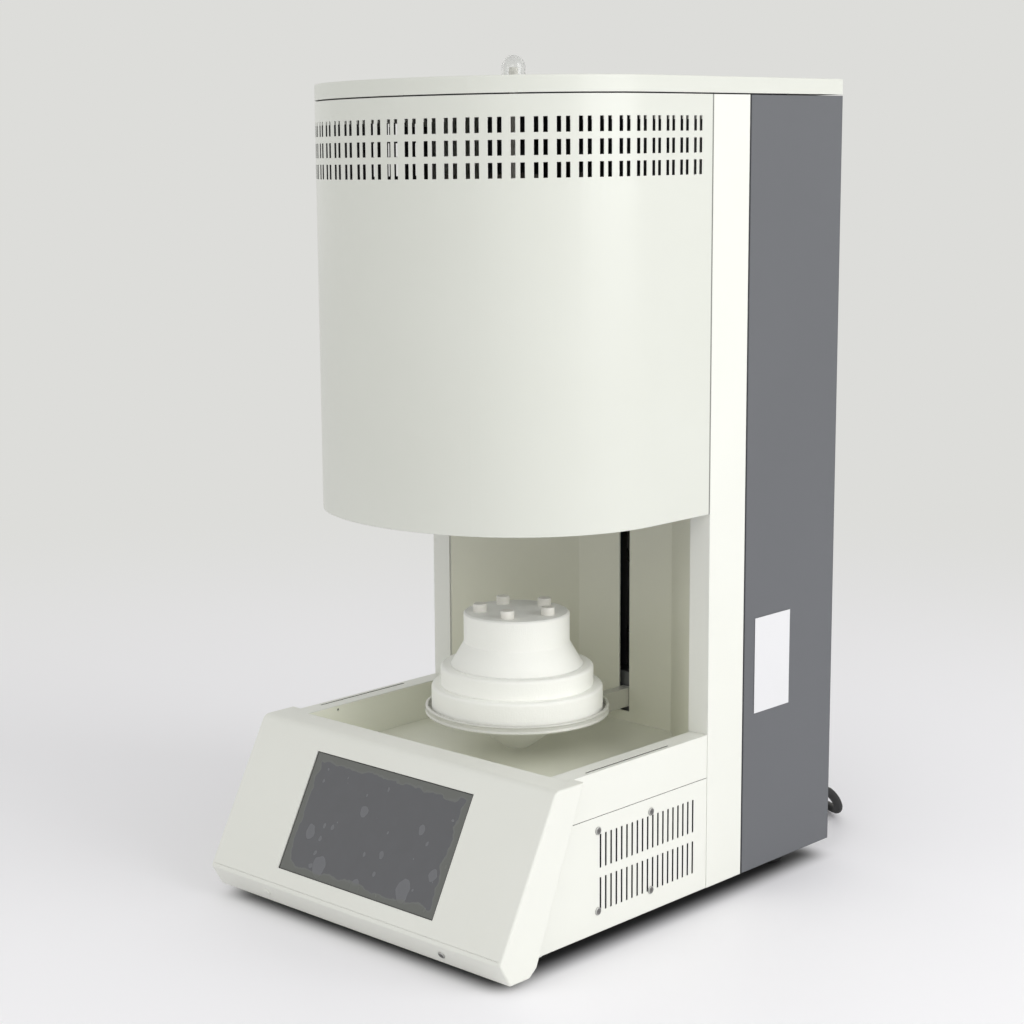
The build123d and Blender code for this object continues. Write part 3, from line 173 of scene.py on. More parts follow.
def new_material(name):
    """A material with its node tree and its Principled shader."""
    material = bpy.data.materials.new(name)
    material.use_nodes = True
    return material, material.node_tree, material.node_tree.nodes["Principled BSDF"]


print("helpers for shaders ready")

# %% [markdown]
# Studio light is soft because its sources are large. One wide lamp stands on the right,
# where the photograph is brightest. Weaker ones fill from the front, into the loading bay
# and from the left.

# %% Lamps
scene = bpy.context.scene
scene.view_settings.view_transform = "Standard"


def add_lamp(name, place, aim, size, watts):
    """A square soft box at a place, turned towards a point."""
    data = bpy.data.lights.new(name, "AREA")
    data.shape = "SQUARE"
    data.size = size
    data.energy = watts
    lamp = bpy.data.objects.new(name, data)
    lamp.location = place
    lamp.rotation_euler = (Vector(aim) - Vector(place)).to_track_quat("-Z", "Y").to_euler()
    scene.collection.objects.link(lamp)


furnace_middle = (0.0, 0.0, 0.35)
lamps = [
    ("right_soft_box", (2.4, 0.5, 1.4), 2.0, 33.0),
    ("front_soft_box", (-0.2, -2.3, 1.7), 2.0, 3.5),
    ("bay_soft_box", (1.2, -1.9, 1.45), 1.0, 6.0),
    ("left_soft_box", (-2.6, 0.4, 1.2), 1.6, 1.5),
]
for lamp_name, lamp_place, lamp_size, lamp_watts in lamps:
    add_lamp(lamp_name, lamp_place, furnace_middle, lamp_size, lamp_watts)
print("lamps", len(lamps))

# %% [markdown]
# The world lights the furnace evenly, and the camera sees a calm background colour in its
# place. The floor catches the shadow. Away from the furnace its finish turns into the same
# background colour, so no horizon line shows. Little light gets in under the furnace, so
# the floor is painted darker within its footprint.

# %% World and floor
background_colour = linear(221, 221, 218)
floor_colour = linear(248, 247, 250)
floor_shade = linear(70, 70, 71)
fade_start, fade_end = 0.6, 2.2
under_half_width, under_half_depth, under_edge = 0.165, 0.230, 0.035


def directly_seen(tree):
    """A mask that is 1 where the camera looks, straight or by a reflection or through glass."""
    rays = tree.nodes.new("ShaderNodeLightPath").outputs
    onward = one_math(tree, "MAXIMUM", rays["Is Glossy Ray"], rays["Is Transmission Ray"])
    return one_math(tree, "MAXIMUM", rays["Is Camera Ray"], onward)


def mix_shaders(tree, factor, first, second, end_name):
    """Mix two shaders and send them to the surface of the end node."""
    node = tree.nodes.new("ShaderNodeMixShader")
    join(tree, [(factor, node.inputs["Fac"]), (first, node.inputs[1]), (second, node.inputs[2]),
                (node.outputs[0], tree.nodes[end_name].inputs["Surface"])])


world = bpy.data.worlds.new("pale_surround")
world.use_nodes = True
scene.world = world
tree = world.node_tree
surround = tree.nodes["Background"]
background = tree.nodes.new("ShaderNodeBackground")
join(tree, [(0.71, surround.inputs["Strength"]), ((1.0, 1.0, 0.99, 1.0), surround.inputs["Color"]),
            (background_colour, background.inputs["Color"])])
mix_shaders(tree, directly_seen(tree), surround.outputs[0], background.outputs[0], "World Output")

bpy.ops.mesh.primitive_circle_add(vertices=96, radius=9.0, fill_type="NGON", location=(0, 0, -0.0005))
floor = bpy.context.object
floor.name = "floor"
floor_finish, tree, shader = new_material("floor_finish")
shader.inputs["Roughness"].default_value = 0.55
place = object_place(tree)
across, deep, _ = axes_of(tree, place)
under = [remap(tree, one_math(tree, "ABSOLUTE", axis), (half + under_edge / 2, half - under_edge / 2),
               smooth=True)
         for axis, half in ((across, under_half_width), (deep, under_half_depth))]
shaded = mix_colour(tree, one_math(tree, "MULTIPLY", *under), floor_colour, floor_shade)
tree.links.new(shaded, shader.inputs["Base Color"])

far_floor = tree.nodes.new("ShaderNodeEmission")
far_floor.inputs["Color"].default_value = background_colour
fade = remap(tree, one_vector(tree, "LENGTH", place), (fade_start, fade_end), smooth=True)
far_and_seen = one_math(tree, "MULTIPLY", fade, directly_seen(tree))
mix_shaders(tree, far_and_seen, shader.outputs[0], far_floor.outputs[0], "Material Output")
floor.data.materials.append(floor_finish)
print("world and floor", world.name, floor_finish.name)

# %% [markdown]
# Several finishes share the same small effects, so each effect is a shader node group with
# named sockets, built once: a fine grain for powder coat and cast surfaces, softened edges
# for folded sheet, and dust on surfaces that face up.

# %% Shared effects


def new_group(name, inputs, outputs):
    """An empty node group with float inputs and its outputs, and its two end nodes."""
    group = bpy.data.node_groups.new(name, "ShaderNodeTree")
    for label, value in inputs:
        socket = group.interface.new_socket(label, in_out="INPUT", socket_type="NodeSocketFloat")
        socket.default_value = value
    for label, kind in outputs:
        group.interface.new_socket(label, in_out="OUTPUT", socket_type=kind)
    start = group.nodes.new("NodeGroupInput")
    end = group.nodes.new("NodeGroupOutput")
    return group, start, end


grain, start, end = new_group("surface_grain", [("Scale", 900.0), ("Patches", 6.0)],
                              [("Height", "NodeSocketFloat"), ("Tone", "NodeSocketFloat")])
place = object_place(grain)
fine = noise(grain, place, start.outputs["Scale"])
broad = noise(grain, place, start.outputs["Patches"], detail=4.0)
join(grain, [(fine["Fac"], end.inputs["Height"]), (broad["Fac"], end.inputs["Tone"])])

soft_edge, start, end = new_group("soft_edge", [], [("Normal", "NodeSocketVector"),
                                                    ("Edge", "NodeSocketFloat")])
rounding = soft_edge.nodes.new("ShaderNodeBevel")
rounding.samples = 4
rounding.inputs["Radius"].default_value = 0.0011
flat = soft_edge.nodes.new("ShaderNodeNewGeometry")
likeness = one_vector(soft_edge, "DOT_PRODUCT", rounding.outputs["Normal"], flat.outputs["Normal"])
join(soft_edge, [(rounding.outputs["Normal"], end.inputs["Normal"]),
                 (remap(soft_edge, likeness, (0.995, 0.86)), end.inputs["Edge"])])

dust, start, end = new_group("settled_dust", [("Amount", 0.2)], [("Mask", "NodeSocketFloat")])
facing = dust.nodes.new("ShaderNodeNewGeometry")
upward = remap(dust, axes_of(dust, facing.outputs["Normal"])[2], (0.5, 1.0))
specks = noise(dust, object_place(dust), 60.0, detail=6.0)
patchy = one_math(dust, "MULTIPLY", upward, specks["Fac"])
join(dust, [(one_math(dust, "MULTIPLY", patchy, start.outputs["Amount"]), end.inputs["Mask"])])
print("groups", [g.name for g in bpy.data.node_groups])

# %% [markdown]
# Every finish starts from the Principled shader. A helper sets its plain values on its own
# sockets, places the shared groups and mixes two tones of the colour, so no surface is a
# single flat colour. What makes each finish different is passed in.

# %% A finish from tones, grain, edges and dust
dust_colour = linear(196, 192, 184)
roughness_spread = 0.06


def place_group(tree, group, **values):
    """Use a shared effect in a material, with its own values."""
    node = tree.nodes.new("ShaderNodeGroup")
    node.node_tree = group
    for label, value in values.items():
        node.inputs[label].default_value = value
    return node


def make_finish(name, dark, light, roughness, metallic=0.0, scale=900.0, bump=0.0002,
                edges=None, dusty=0.0, sheen=0.0, coat=0.0):
    """A material with two tones, grained relief, softened edges with a painted highlight along them (a
    painted shade on the grey coat), and settled dust.
    """
    finish, tree, shader = new_material(name)
    surface = place_group(tree, grain, Scale=scale)
    tone = surface.outputs["Tone"]
    colour = mix_colour(tree, tone, linear(*dark), linear(*light))
    rough = remap(tree, tone, target=(max(0.02, roughness - roughness_spread),
                                      min(1.0, roughness + roughness_spread)))
    relief = tree.nodes.new("ShaderNodeBump")
    join(tree, [
        (metallic, shader.inputs["Metallic"]),
        (coat, shader.inputs["Coat Weight"]),
        (sheen, shader.inputs["Sheen Weight"]),
        (rough, shader.inputs["Roughness"]),
        (bump, relief.inputs["Distance"]),
        (surface.outputs["Height"], relief.inputs["Height"]),
        (relief.outputs["Normal"], shader.inputs["Normal"]),
    ])
    # Along a softened edge the colour turns to the edge tone: a painted highlight where a rounded edge
    # catches light, and on the grey coat a painted shade.
    if edges is not None:
        rim = place_group(tree, soft_edge)
        colour = mix_colour(tree, rim.outputs["Edge"], colour, linear(*edges))
        tree.links.new(rim.outputs["Normal"], relief.inputs["Normal"])
    if dusty:
        film = place_group(tree, dust, Amount=dusty)
        colour = mix_colour(tree, film.outputs["Mask"], colour, dust_colour)
    tree.links.new(colour, shader.inputs["Base Color"])
    return finish


def coat(name, dark=(226, 227, 219), light=(232, 233, 226), dusty=0.1):
    """Fine-textured white powder coat, with a painted highlight along its rounded folds."""
    return make_finish(name, dark, light, 0.42, scale=1400.0, bump=0.00006,
                       edges=(238, 239, 233), dusty=dusty, coat=0.12)


white_coat = coat("white_coat")
grey_coat = make_finish("grey_coat", (93, 95, 99), (98, 100, 104), 0.5,
                        scale=1700.0, bump=0.00018, edges=(70, 72, 76), dusty=0.06)
black_coat = make_finish("black_coat", (30, 30, 32), (38, 38, 41), 0.4, scale=1200.0)
zinc_sheet = make_finish("zinc_sheet", (96, 98, 99), (126, 128, 129), 0.55, metallic=0.6,
                         scale=220.0, bump=0.00004)
satin_steel = make_finish("satin_steel", (208, 208, 201), (222, 222, 216), 0.42, metallic=0.3,
                          scale=2600.0, bump=0.00004, edges=(238, 238, 233))
bright_steel = make_finish("bright_steel", (150, 151, 152), (188, 189, 190), 0.28, metallic=1.0,
                           scale=1800.0, bump=0.00003, edges=(214, 214, 214))
screw_steel = make_finish("screw_steel", (168, 168, 166), (196, 196, 193), 0.3, metallic=0.8,
                          scale=900.0, bump=0.00003)
recess_shadow = make_finish("recess_shadow", (100, 100, 98), (126, 125, 123), 0.5, metallic=0.4)
strap_metal = make_finish("strap_metal", (150, 151, 153), (178, 179, 181), 0.4, metallic=0.9)
element_metal = make_finish("element_metal", (96, 92, 88), (132, 126, 118), 0.6,
                            metallic=0.3, scale=500.0, bump=0.0003)
core_iron = make_finish("core_iron", (52, 50, 50), (74, 70, 68), 0.6, metallic=0.5)
brass_metal = make_finish("brass_metal", (196, 160, 86), (216, 184, 110), 0.3, metallic=1.0)
dense_ceramic = make_finish("dense_ceramic", (240, 238, 229), (247, 245, 238), 0.6,
                            scale=800.0, bump=0.0001, edges=(250, 249, 245))
black_plastic = make_finish("black_plastic", (24, 24, 25), (34, 34, 36), 0.5,
                            scale=1500.0, bump=0.00012, edges=(52, 52, 54))
black_rubber = make_finish("black_rubber", (20, 20, 20), (31, 31, 31), 0.72,
                           scale=700.0, bump=0.0002, dusty=0.2)
board_green = make_finish("board_green", (24, 84, 48), (34, 110, 62), 0.4, scale=400.0)
print("finishes", len(bpy.data.materials))

# %% [markdown]
# Powder is sprayed on the outside of a housing, so the insides stay in dark primer. Their
# near-black colour is also painted shade, so the vent slots and the drum's slots read as black
# lines. The tray's rim cavity and the seam at the drum's rear edge get painted shade as well.
# Inside the loading bay the coat is painted warmer and paler, as painted light bounced about
# the bay. All are masks over the same white coat. A box mask multiplies comparisons of the
# Object coordinates. The drum's mask asks which way a face looks from the chamber's axis,
# because its slots run right round a curved wall.

# %% Masked coats
primer_and_shade = linear(30, 31, 30)
rim_cavity_shade = linear(92, 92, 86)
drum_seam_shade = linear(128, 129, 124)
bay_bounce_tint = (linear(240, 241, 227), linear(245, 246, 233))
side_skin = 0.1693
tray_floor, tray_wall, tray_front = 0.1210, 0.1515, -0.1885
wall_top, rim_underside = 0.1585, 0.1588
band_low, band_high = 0.62, 0.70
chamber_y = -0.0239
seam_depth = 0.0013


def object_axes(tree):
    """X, Y and Z of the Object coordinates, with X mirrored to one side."""
    x, y, z = axes_of(tree, object_place(tree))
    return one_math(tree, "ABSOLUTE", x), y, z


def all_of(tree, *limits):
    """A mask that is 1 where every limit holds: (socket, "above" or "below", metres)."""
    mask = 1.0
    for socket, side, limit in limits:
        step = one_math(tree, "GREATER_THAN" if side == "above" else "LESS_THAN", socket, limit)
        mask = one_math(tree, "MULTIPLY", step, mask)
    return mask


def paint_over(finish, mask, colour):
    """Lay another colour over a finish where a mask is 1."""
    tree = finish.node_tree
    socket = tree.nodes["Principled BSDF"].inputs["Base Color"]
    under = socket.links[0].from_socket
    tree.links.new(mix_colour(tree, mask, under, colour), socket)


# The cover is the white paint set a little darker: painted shade, a shaded copy of the white coat.
cover_coat = coat("cover_coat", (210, 212, 203), (216, 218, 210))
# The bay's back panel is painted warmer and paler: painted light bounced about the bay.
bay_coat = coat("bay_coat", (231, 231, 214), (236, 236, 220), dusty=0.05)

vent_coat = coat("vent_coat")
tree = vent_coat.node_tree
# Behind the vent panel's skin: dark primer and painted shade, so the slots read black.
paint_over(vent_coat, all_of(tree, (object_axes(tree)[0], "below", side_skin)), primer_and_shade)

tray_coat = coat("tray_coat", dusty=0.05)
tree = tray_coat.node_tree
across, deep, high = object_axes(tree)
tone = next(n for n in tree.nodes if n.type == "GROUP" and n.node_tree == grain).outputs["Tone"]
inner_faces = all_of(tree, (across, "below", tray_wall), (high, "below", wall_top),
                     (deep, "above", tray_front))
cavity = all_of(tree, (across, "above", tray_wall), (across, "below", side_skin),
                (high, "below", rim_underside))
below = all_of(tree, (high, "below", tray_floor), (across, "below", side_skin))
# The tray's inner faces are painted warmer and paler, as painted light bounced about the bay.
paint_over(tray_coat, inner_faces, mix_colour(tree, tone, *bay_bounce_tint))
# The cavity under the rim is painted darker as painted shade.
paint_over(tray_coat, cavity, rim_cavity_shade)
# Below the tray floor: dark primer and painted shade.
paint_over(tray_coat, below, primer_and_shade)

# The drum is set darker in the same way: painted shade, a shaded copy of the white coat.
drum_coat = coat("drum_coat", (210, 212, 203), (216, 218, 210))
tree = drum_coat.node_tree
_, deep, high = object_axes(tree)
outward = one_vector(tree, "MULTIPLY_ADD", object_place(tree), (1.0, 1.0, 0.0),
                     (0.0, -chamber_y, 0.0))
looks = tree.nodes.new("ShaderNodeNewGeometry")
facing_out = one_vector(tree, "DOT_PRODUCT", one_vector(tree, "NORMALIZE", outward),
                        looks.outputs["Normal"])
# Inward faces in the slot band: dark primer and painted shade, so the slots read black.
slot_band = all_of(tree, (facing_out, "below", 0.3), (high, "above", band_low),
                   (high, "below", band_high))
paint_over(drum_coat, slot_band, primer_and_shade)
# A thin strip at the drum's rear edge is painted darker: painted shade in the seam to the post.
rear_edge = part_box("drum_shell")[1][1] - seam_depth
paint_over(drum_coat, all_of(tree, (deep, "above", rear_edge)), drum_seam_shade)
drum_gloss = tree.nodes["Principled BSDF"]
drum_gloss.inputs["Coat Weight"].default_value = 0.45
drum_gloss.inputs["Coat Roughness"].default_value = 0.22
print("coats", [m.name for m in bpy.data.materials if m.name.endswith("coat")])

# %% [markdown]
# Ceramic fibre board is pressed from short fibres, so its face is matt, slightly hairy and
# never quite even. Two noises, each stretched in its own direction, are added for the
# fibres, and the shared grain's broad tone moves the colour between two warm whites.

# %% Fibre board
fibre_board = make_finish("fibre_board", (245, 246, 239), (251, 251, 246), 0.92,
                          scale=600.0, bump=0.00022, edges=(253, 253, 250), sheen=0.15)
tree = fibre_board.node_tree
relief = next(n for n in tree.nodes if n.type == "BUMP")
place = object_place(tree)
strands = []
for stretch in ((900.0, 900.0, 160.0), (160.0, 700.0, 900.0)):
    lay = tree.nodes.new("ShaderNodeMapping")
    join(tree, [(place, lay.inputs["Vector"]), (stretch, lay.inputs["Scale"])])
    strands.append(noise(tree, lay.outputs[0], 1.0, detail=3.0)["Fac"])
join(tree, [(one_math(tree, "ADD", *strands), relief.inputs["Height"])])
print("fibre board nodes", len(tree.nodes))

# %% [markdown]
# The touch glass still wears its shipping film in the photograph. Where the film sticks,
# the glass looks dark. Where air is caught below it, there are paler rounded patches, and
# along the border the film is lifted. Voronoi cells pushed about by noise make the
# patches, in two sizes. The room left to the glass's nearest edge makes the border, and
# noise makes its inner line wavy.

# %% Touch glass under its film
screen_low, screen_high = (Vector(corner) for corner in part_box("screen_glass"))
screen_middle = (screen_low + screen_high) / 2
half_width = (screen_high.x - screen_low.x) / 2
half_slope = math.hypot(screen_high.y - screen_low.y, screen_high.z - screen_low.z) / 2
slope_angle = math.atan2(screen_high.z - screen_low.z, screen_high.y - screen_low.y)
film_margin, film_wave = 0.0155, 0.016
seam_width, shade_width = 0.0008, 0.0011


def film_bubbles(tree, place, scale, share, size):
    """A mask of rounded patches: one in each of a share of the cells, none alike."""
    shove = noise(tree, place, 90.0)["Color"]
    drift = one_vector(tree, "MULTIPLY_ADD", shove, (0.006, 0.006, 0.0), place)
    cells = tree.nodes.new("ShaderNodeTexVoronoi")
    cells.voronoi_dimensions = "2D"
    chance = tree.nodes.new("ShaderNodeSeparateColor")
    join(tree, [(one_vector(tree, "MULTIPLY", drift, (1.0, 0.72, 0.0)), cells.inputs["Vector"]),
                (scale, cells.inputs["Scale"]), (cells.outputs["Color"], chance.inputs[0])])
    reach = one_math(tree, "MULTIPLY", chance.outputs[1], size)
    inside = one_math(tree, "LESS_THAN", cells.outputs["Distance"], reach)
    return one_math(tree, "MULTIPLY", inside, one_math(tree, "LESS_THAN", chance.outputs[0], share))


screen_glass, tree, shader = new_material("screen_glass")
shader.inputs["Coat Weight"].default_value = 0.5
lay = tree.nodes.new("ShaderNodeMapping")
join(tree, [(one_vector(tree, "SUBTRACT", object_place(tree), screen_middle), lay.inputs["Vector"]),
            ((-slope_angle, 0, 0), lay.inputs["Rotation"])])
glass_place = lay.outputs[0]
across, along, _ = axes_of(tree, glass_place)
ripple = noise(tree, glass_place, 55.0, detail=3.0)["Fac"]
side_room = one_math(tree, "SUBTRACT", half_width, one_math(tree, "ABSOLUTE", across))
end_room = one_math(tree, "SUBTRACT", half_slope, one_math(tree, "ABSOLUTE", along))
room = one_math(tree, "MINIMUM", side_room, end_room)
wavy_room = one_math(tree, "MULTIPLY_ADD", ripple, -film_wave, film_margin)
lifted = one_math(tree, "LESS_THAN", room, wavy_room)
seam_room = one_math(tree, "ABSOLUTE", one_math(tree, "SUBTRACT", room, wavy_room))
bright_seam = one_math(tree, "LESS_THAN", seam_room, seam_width)
shaded_edge = one_math(tree, "LESS_THAN", room, shade_width)
bubbles = one_math(tree, "MAXIMUM", film_bubbles(tree, glass_place, 38.0, 0.42, 0.30),
                   film_bubbles(tree, glass_place, 105.0, 0.2, 0.26))
colour = mix_colour(tree, ripple, linear(84, 85, 88), linear(89, 90, 94))
for mask, tone in ((bubbles, (103, 104, 108)), (lifted, (97, 99, 95)), (bright_seam, (102, 104, 102)),
                   (shaded_edge, (34, 34, 34))):
    colour = mix_colour(tree, mask, colour, linear(*tone))
join(tree, [(colour, shader.inputs["Base Color"]),
            (remap(tree, bubbles, target=(0.24, 0.4)), shader.inputs["Roughness"])])
print("screen", [round(v, 4) for v in screen_middle], "slope", round(math.degrees(slope_angle), 1))

# %% [markdown]
# The dome over the probe's end is clear moulded plastic: light passes through it, so it
# needs transmission, a low roughness with a faint haze, and almost no colour.

# %% Clear plastic
clear_plastic, tree, shader = new_material("clear_plastic")
haze = place_group(tree, grain, Scale=300.0).outputs["Tone"]
join(tree, [(0.93, shader.inputs["Transmission Weight"]), (1.45, shader.inputs["IOR"]),
            (mix_colour(tree, haze, linear(247, 248, 247), linear(252, 252, 252)),
             shader.inputs["Base Color"]),
            (remap(tree, haze, target=(0.06, 0.16)), shader.inputs["Roughness"])])
print("clear plastic ready")

# %% [markdown]
# The plug is one moulded node, body and pins together. The pins start at the end of the
# body, so a mask along X gives them bare metal, in colour and in the Metallic value.

# %% Plug with metal pins
pins_start = -0.0462
plug_plastic = make_finish("plug_plastic", (24, 24, 25), (33, 33, 35), 0.5, scale=1500.0,
                           bump=0.00012, edges=(56, 56, 58))
tree = plug_plastic.node_tree
pin_mask = all_of(tree, (axes_of(tree, object_place(tree))[0], "below", pins_start))
paint_over(plug_plastic, pin_mask, linear(196, 190, 172))
tree.links.new(pin_mask, tree.nodes["Principled BSDF"].inputs["Metallic"])

# %% [markdown]
# A CAD node keeps its shape and gets a better finish: the record names a material slot for
# each node, and each slot has one finish here. A few nodes have a masked coat of their own.

# %% Dress the CAD nodes
slot_finishes = {
    "white_coat": white_coat, "grey_coat": grey_coat, "black_coat": black_coat, "zinc_sheet": zinc_sheet,
    "satin_steel": satin_steel, "bright_steel": bright_steel, "strap_metal": strap_metal,
    "element_metal": element_metal, "core_iron": core_iron, "brass_nut": brass_metal,
    "fibre_board": fibre_board, "dense_ceramic": dense_ceramic, "black_plastic": black_plastic,
    "board_green": board_green, "clear_plastic": clear_plastic, "screen_glass": screen_glass,
    "black_rubber": black_rubber,
}
node_slots = {part["node"]: part["material_slot"] for part in frame["record"]["subparts"]}
node_objects = {name: frame["nodes"][name] for name in node_slots}
coat_of = {
    "top_cover": cover_coat, "left_vent_panel": vent_coat, "right_vent_panel": vent_coat,
    "bay_tray": tray_coat, "bay_back_panel": bay_coat, "drum_shell": drum_coat,
    "mains_plug": plug_plastic,
}
for name, node in node_objects.items():
    finish = coat_of.get(name, slot_finishes[node_slots[name]])
    node.data.materials.clear()
    node.data.materials.append(finish)
print("dressed", len(node_objects))

# %% [markdown]
# Small parts that a CAD model leaves plain are now made by hand. Each starts as a
# primitive at the origin and is shaped there, because a screw that stands upright is easy
# to cut. Copies are then turned into place, and the turn is applied, so that every
# object sits at the origin like the CAD nodes.

# %% Helpers for pieces


def start_piece(name):
    """Name the new primitive and open it in edit mode with nothing selected."""
    piece = bpy.context.object
    piece.name = name
    bpy.ops.object.mode_set(mode="EDIT")
    bpy.ops.mesh.select_all(action="DESELECT")
    return piece


def pick_faces(piece, test):
    """Select in edit mode the faces whose centre and normal pass a test."""
    bpy.ops.object.mode_set(mode="OBJECT")
    for face in piece.data.polygons:
        face.select = test(face.center, face.normal)
    bpy.ops.object.mode_set(mode="EDIT")
    bpy.ops.mesh.select_mode(type="FACE")


def finish_piece(piece, finish, body, angle=35):
    """Back to object mode, smooth by angle, apply the place, give a finish and a body."""
    bpy.ops.object.mode_set(mode="OBJECT")
    bpy.ops.object.select_all(action="DESELECT")
    piece.select_set(True)
    bpy.context.view_layer.objects.active = piece
    bpy.ops.object.transform_apply(location=True, rotation=True, scale=True)
    bpy.ops.object.shade_smooth_by_angle(angle=math.radians(angle))
    indices = [face.material_index for face in piece.data.polygons]
    piece.data.materials.clear()
    piece.data.materials.append(finish)
    piece.data.polygons.foreach_set("material_index", indices)
    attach(piece, body)
    return piece


def apply_modifiers(piece):
    """Turn every modifier of a piece into mesh, in their order."""
    bpy.context.view_layer.objects.active = piece
    for modifier in list(piece.modifiers):
        bpy.ops.object.modifier_apply(modifier=modifier.name)


bpy.ops.object.select_all(action="DESELECT")
print("helpers ready")

# %% [markdown]
# The panels are held by pan-head screws with a cross recess. One screw is modelled: a
# cylinder whose top edge is bevelled into a crown, with a shank extruded from its underside
# and a cross cut by two crossed bars. The others are copies. In the photograph only the
# right one of the two screws below the console shows as metal, so the left one is coated.

# %% Cross-recess screws
head_radius, head_height = 0.0036, 0.0018
crown_inset, crown_rise, crown_width = 0.0009, 0.00025, 0.00045
shank_inset, shank_length = 0.0017, 0.006
recess_size, recess_taper, recess_turn = (0.0036, 0.0007, 0.0020), (0.45, 0.7, 1.0), 20
recess_reach, recess_floor = 0.0021, 0.0003
bpy.ops.mesh.primitive_cylinder_add(vertices=32, radius=head_radius, depth=head_height,
                                    location=(0, 0, head_height / 2))
master_screw = start_piece("panel_screw")
pick_faces(master_screw, lambda centre, normal: normal.z > 0.9)
bpy.ops.mesh.inset(thickness=crown_inset)
bpy.ops.transform.translate(value=(0, 0, crown_rise))
pick_faces(master_screw, lambda centre, normal: normal.z < -0.9)
bpy.ops.mesh.inset(thickness=shank_inset)
bpy.ops.mesh.extrude_region_move(TRANSFORM_OT_translate={"value": (0, 0, -shank_length)})
bpy.ops.object.mode_set(mode="OBJECT")
rounding = master_screw.modifiers.new("crown", "BEVEL")
rounding.width = crown_width
rounding.segments = 3
rounding.limit_method = "ANGLE"
rounding.angle_limit = math.radians(30)
for turn_angle in (0, 90):
    bpy.ops.mesh.primitive_cube_add(size=1, location=(0, 0, head_height))
    bar = start_piece("recess_bar")
    bpy.ops.mesh.select_all(action="SELECT")
    bpy.ops.transform.resize(value=recess_size)
    pick_faces(bar, lambda centre, normal: normal.z < -0.9)
    bpy.ops.transform.resize(value=recess_taper)
    bpy.ops.object.mode_set(mode="OBJECT")
    bar.rotation_euler.z = math.radians(turn_angle + recess_turn)
    cut = master_screw.modifiers.new("recess", "BOOLEAN")
    cut.operation = "DIFFERENCE"
    cut.object = bar
bpy.ops.object.select_all(action="DESELECT")
master_screw.select_set(True)
apply_modifiers(master_screw)
for bar in [o for o in bpy.data.objects if o.name.startswith("recess_bar")]:
    bpy.data.objects.remove(bar)
for face in master_screw.data.polygons:
    near_axis = math.hypot(face.center.x, face.center.y) < recess_reach
    face.material_index = 1 if near_axis and recess_floor < face.center.z < head_height else 0

vent_x, rear_y, cover_z = 0.1695, 0.2345, 0.7360
fan_y, fan_z, fan_half_pitch = -0.0740, 0.0711, 0.0715 / 2
rear_x, rear_rows = 0.160, (0.0560, 0.3684, 0.6808)
cover_places = ((-0.076, 0.0165), (0.076, 0.0165), (-0.105, 0.1415), (0.105, 0.1415))
chin_x, chin_y, chin_z, chin_lean = 0.110, -0.24025, 0.0178, math.radians(31.5)
chin_normal = (0, -math.cos(chin_lean), -math.sin(chin_lean))
screw_places = [((vent_x, fan_y + a * fan_half_pitch, fan_z + b * fan_half_pitch), (1, 0, 0))
                for a in (-1, 1) for b in (-1, 1)]
screw_places += [((x, rear_y, z), (0, 1, 0)) for x in (-rear_x, rear_x) for z in rear_rows]
screw_places += [((x, y, cover_z), (0, 0, 1)) for x, y in cover_places]
screw_places += [((x, chin_y, chin_z), chin_normal) for x in (chin_x, -chin_x)]

for number, (seat, direction) in enumerate(screw_places, 1):
    bpy.ops.object.select_all(action="DESELECT")
    master_screw.select_set(True)
    bpy.context.view_layer.objects.active = master_screw
    bpy.ops.object.duplicate(linked=False)
    screw = bpy.context.object
    screw.name = f"panel_screw_{number:02d}"
    screw.location = seat
    screw.rotation_euler = Vector(direction).to_track_quat("Z", "Y").to_euler()
    if number < len(screw_places):
        finish_piece(screw, screw_steel, "cabinet")
        screw.data.materials.append(recess_shadow)
    else:
        finish_piece(screw, white_coat, "cabinet")
        screw.data.materials.append(white_coat)
    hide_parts("panel_screws")
bpy.data.objects.remove(master_screw)
print("screws", len(screw_places))

# %% [markdown]
# A paper label sits low on the right side panel. The real one is printed, and this part
# carries no words, so the label stays blank. A plane is cut into strips, one corner is
# lifted a little, and Solidify gives it the thickness of paper and adhesive.

# %% Blank label
label_x, label_middle = 0.1703, (0.1375, 0.2095)
label_half = (0.0270, 0.0445)
lift_start, lift_height, lift_curve = 0.86, 0.0035, 1.5
paper_thickness = 0.00025
bpy.ops.mesh.primitive_grid_add(x_subdivisions=12, y_subdivisions=18, size=2)
label = start_piece("blank_label")
bpy.ops.mesh.select_all(action="SELECT")
bpy.ops.transform.resize(value=(*label_half, 1))
bpy.ops.object.mode_set(mode="OBJECT")
for point in label.data.vertices:
    corner = max(0.0, (point.co.x + point.co.y) / (label_half[0] + label_half[1]) - lift_start)
    point.co.z = lift_height * corner ** lift_curve
label.rotation_euler = (math.radians(90), 0, math.radians(90))
label.location = (label_x, *label_middle)
paper = label.modifiers.new("paper", "SOLIDIFY")
paper.thickness = paper_thickness
paper.offset = 1
apply_modifiers(label)
paper_white = make_finish("paper_white", (218, 218, 220), (224, 224, 226), 0.5, scale=900.0,
                          bump=0.00003, coat=0.1)
finish_piece(label, paper_white, "cabinet")
print("label", [round(v, 4) for v in label.dimensions])

# %% [markdown]
# The mains lead is a free cord of 1.8 m, the usual length for a bench appliance. It leaves
# the gland, sags to the table and runs behind the cabinet, where the rest lies in a coil
# of two layers. The route's points are listed and the coil's turns are a loop. A
# NURBS spline with order 3 rounds every corner by itself.

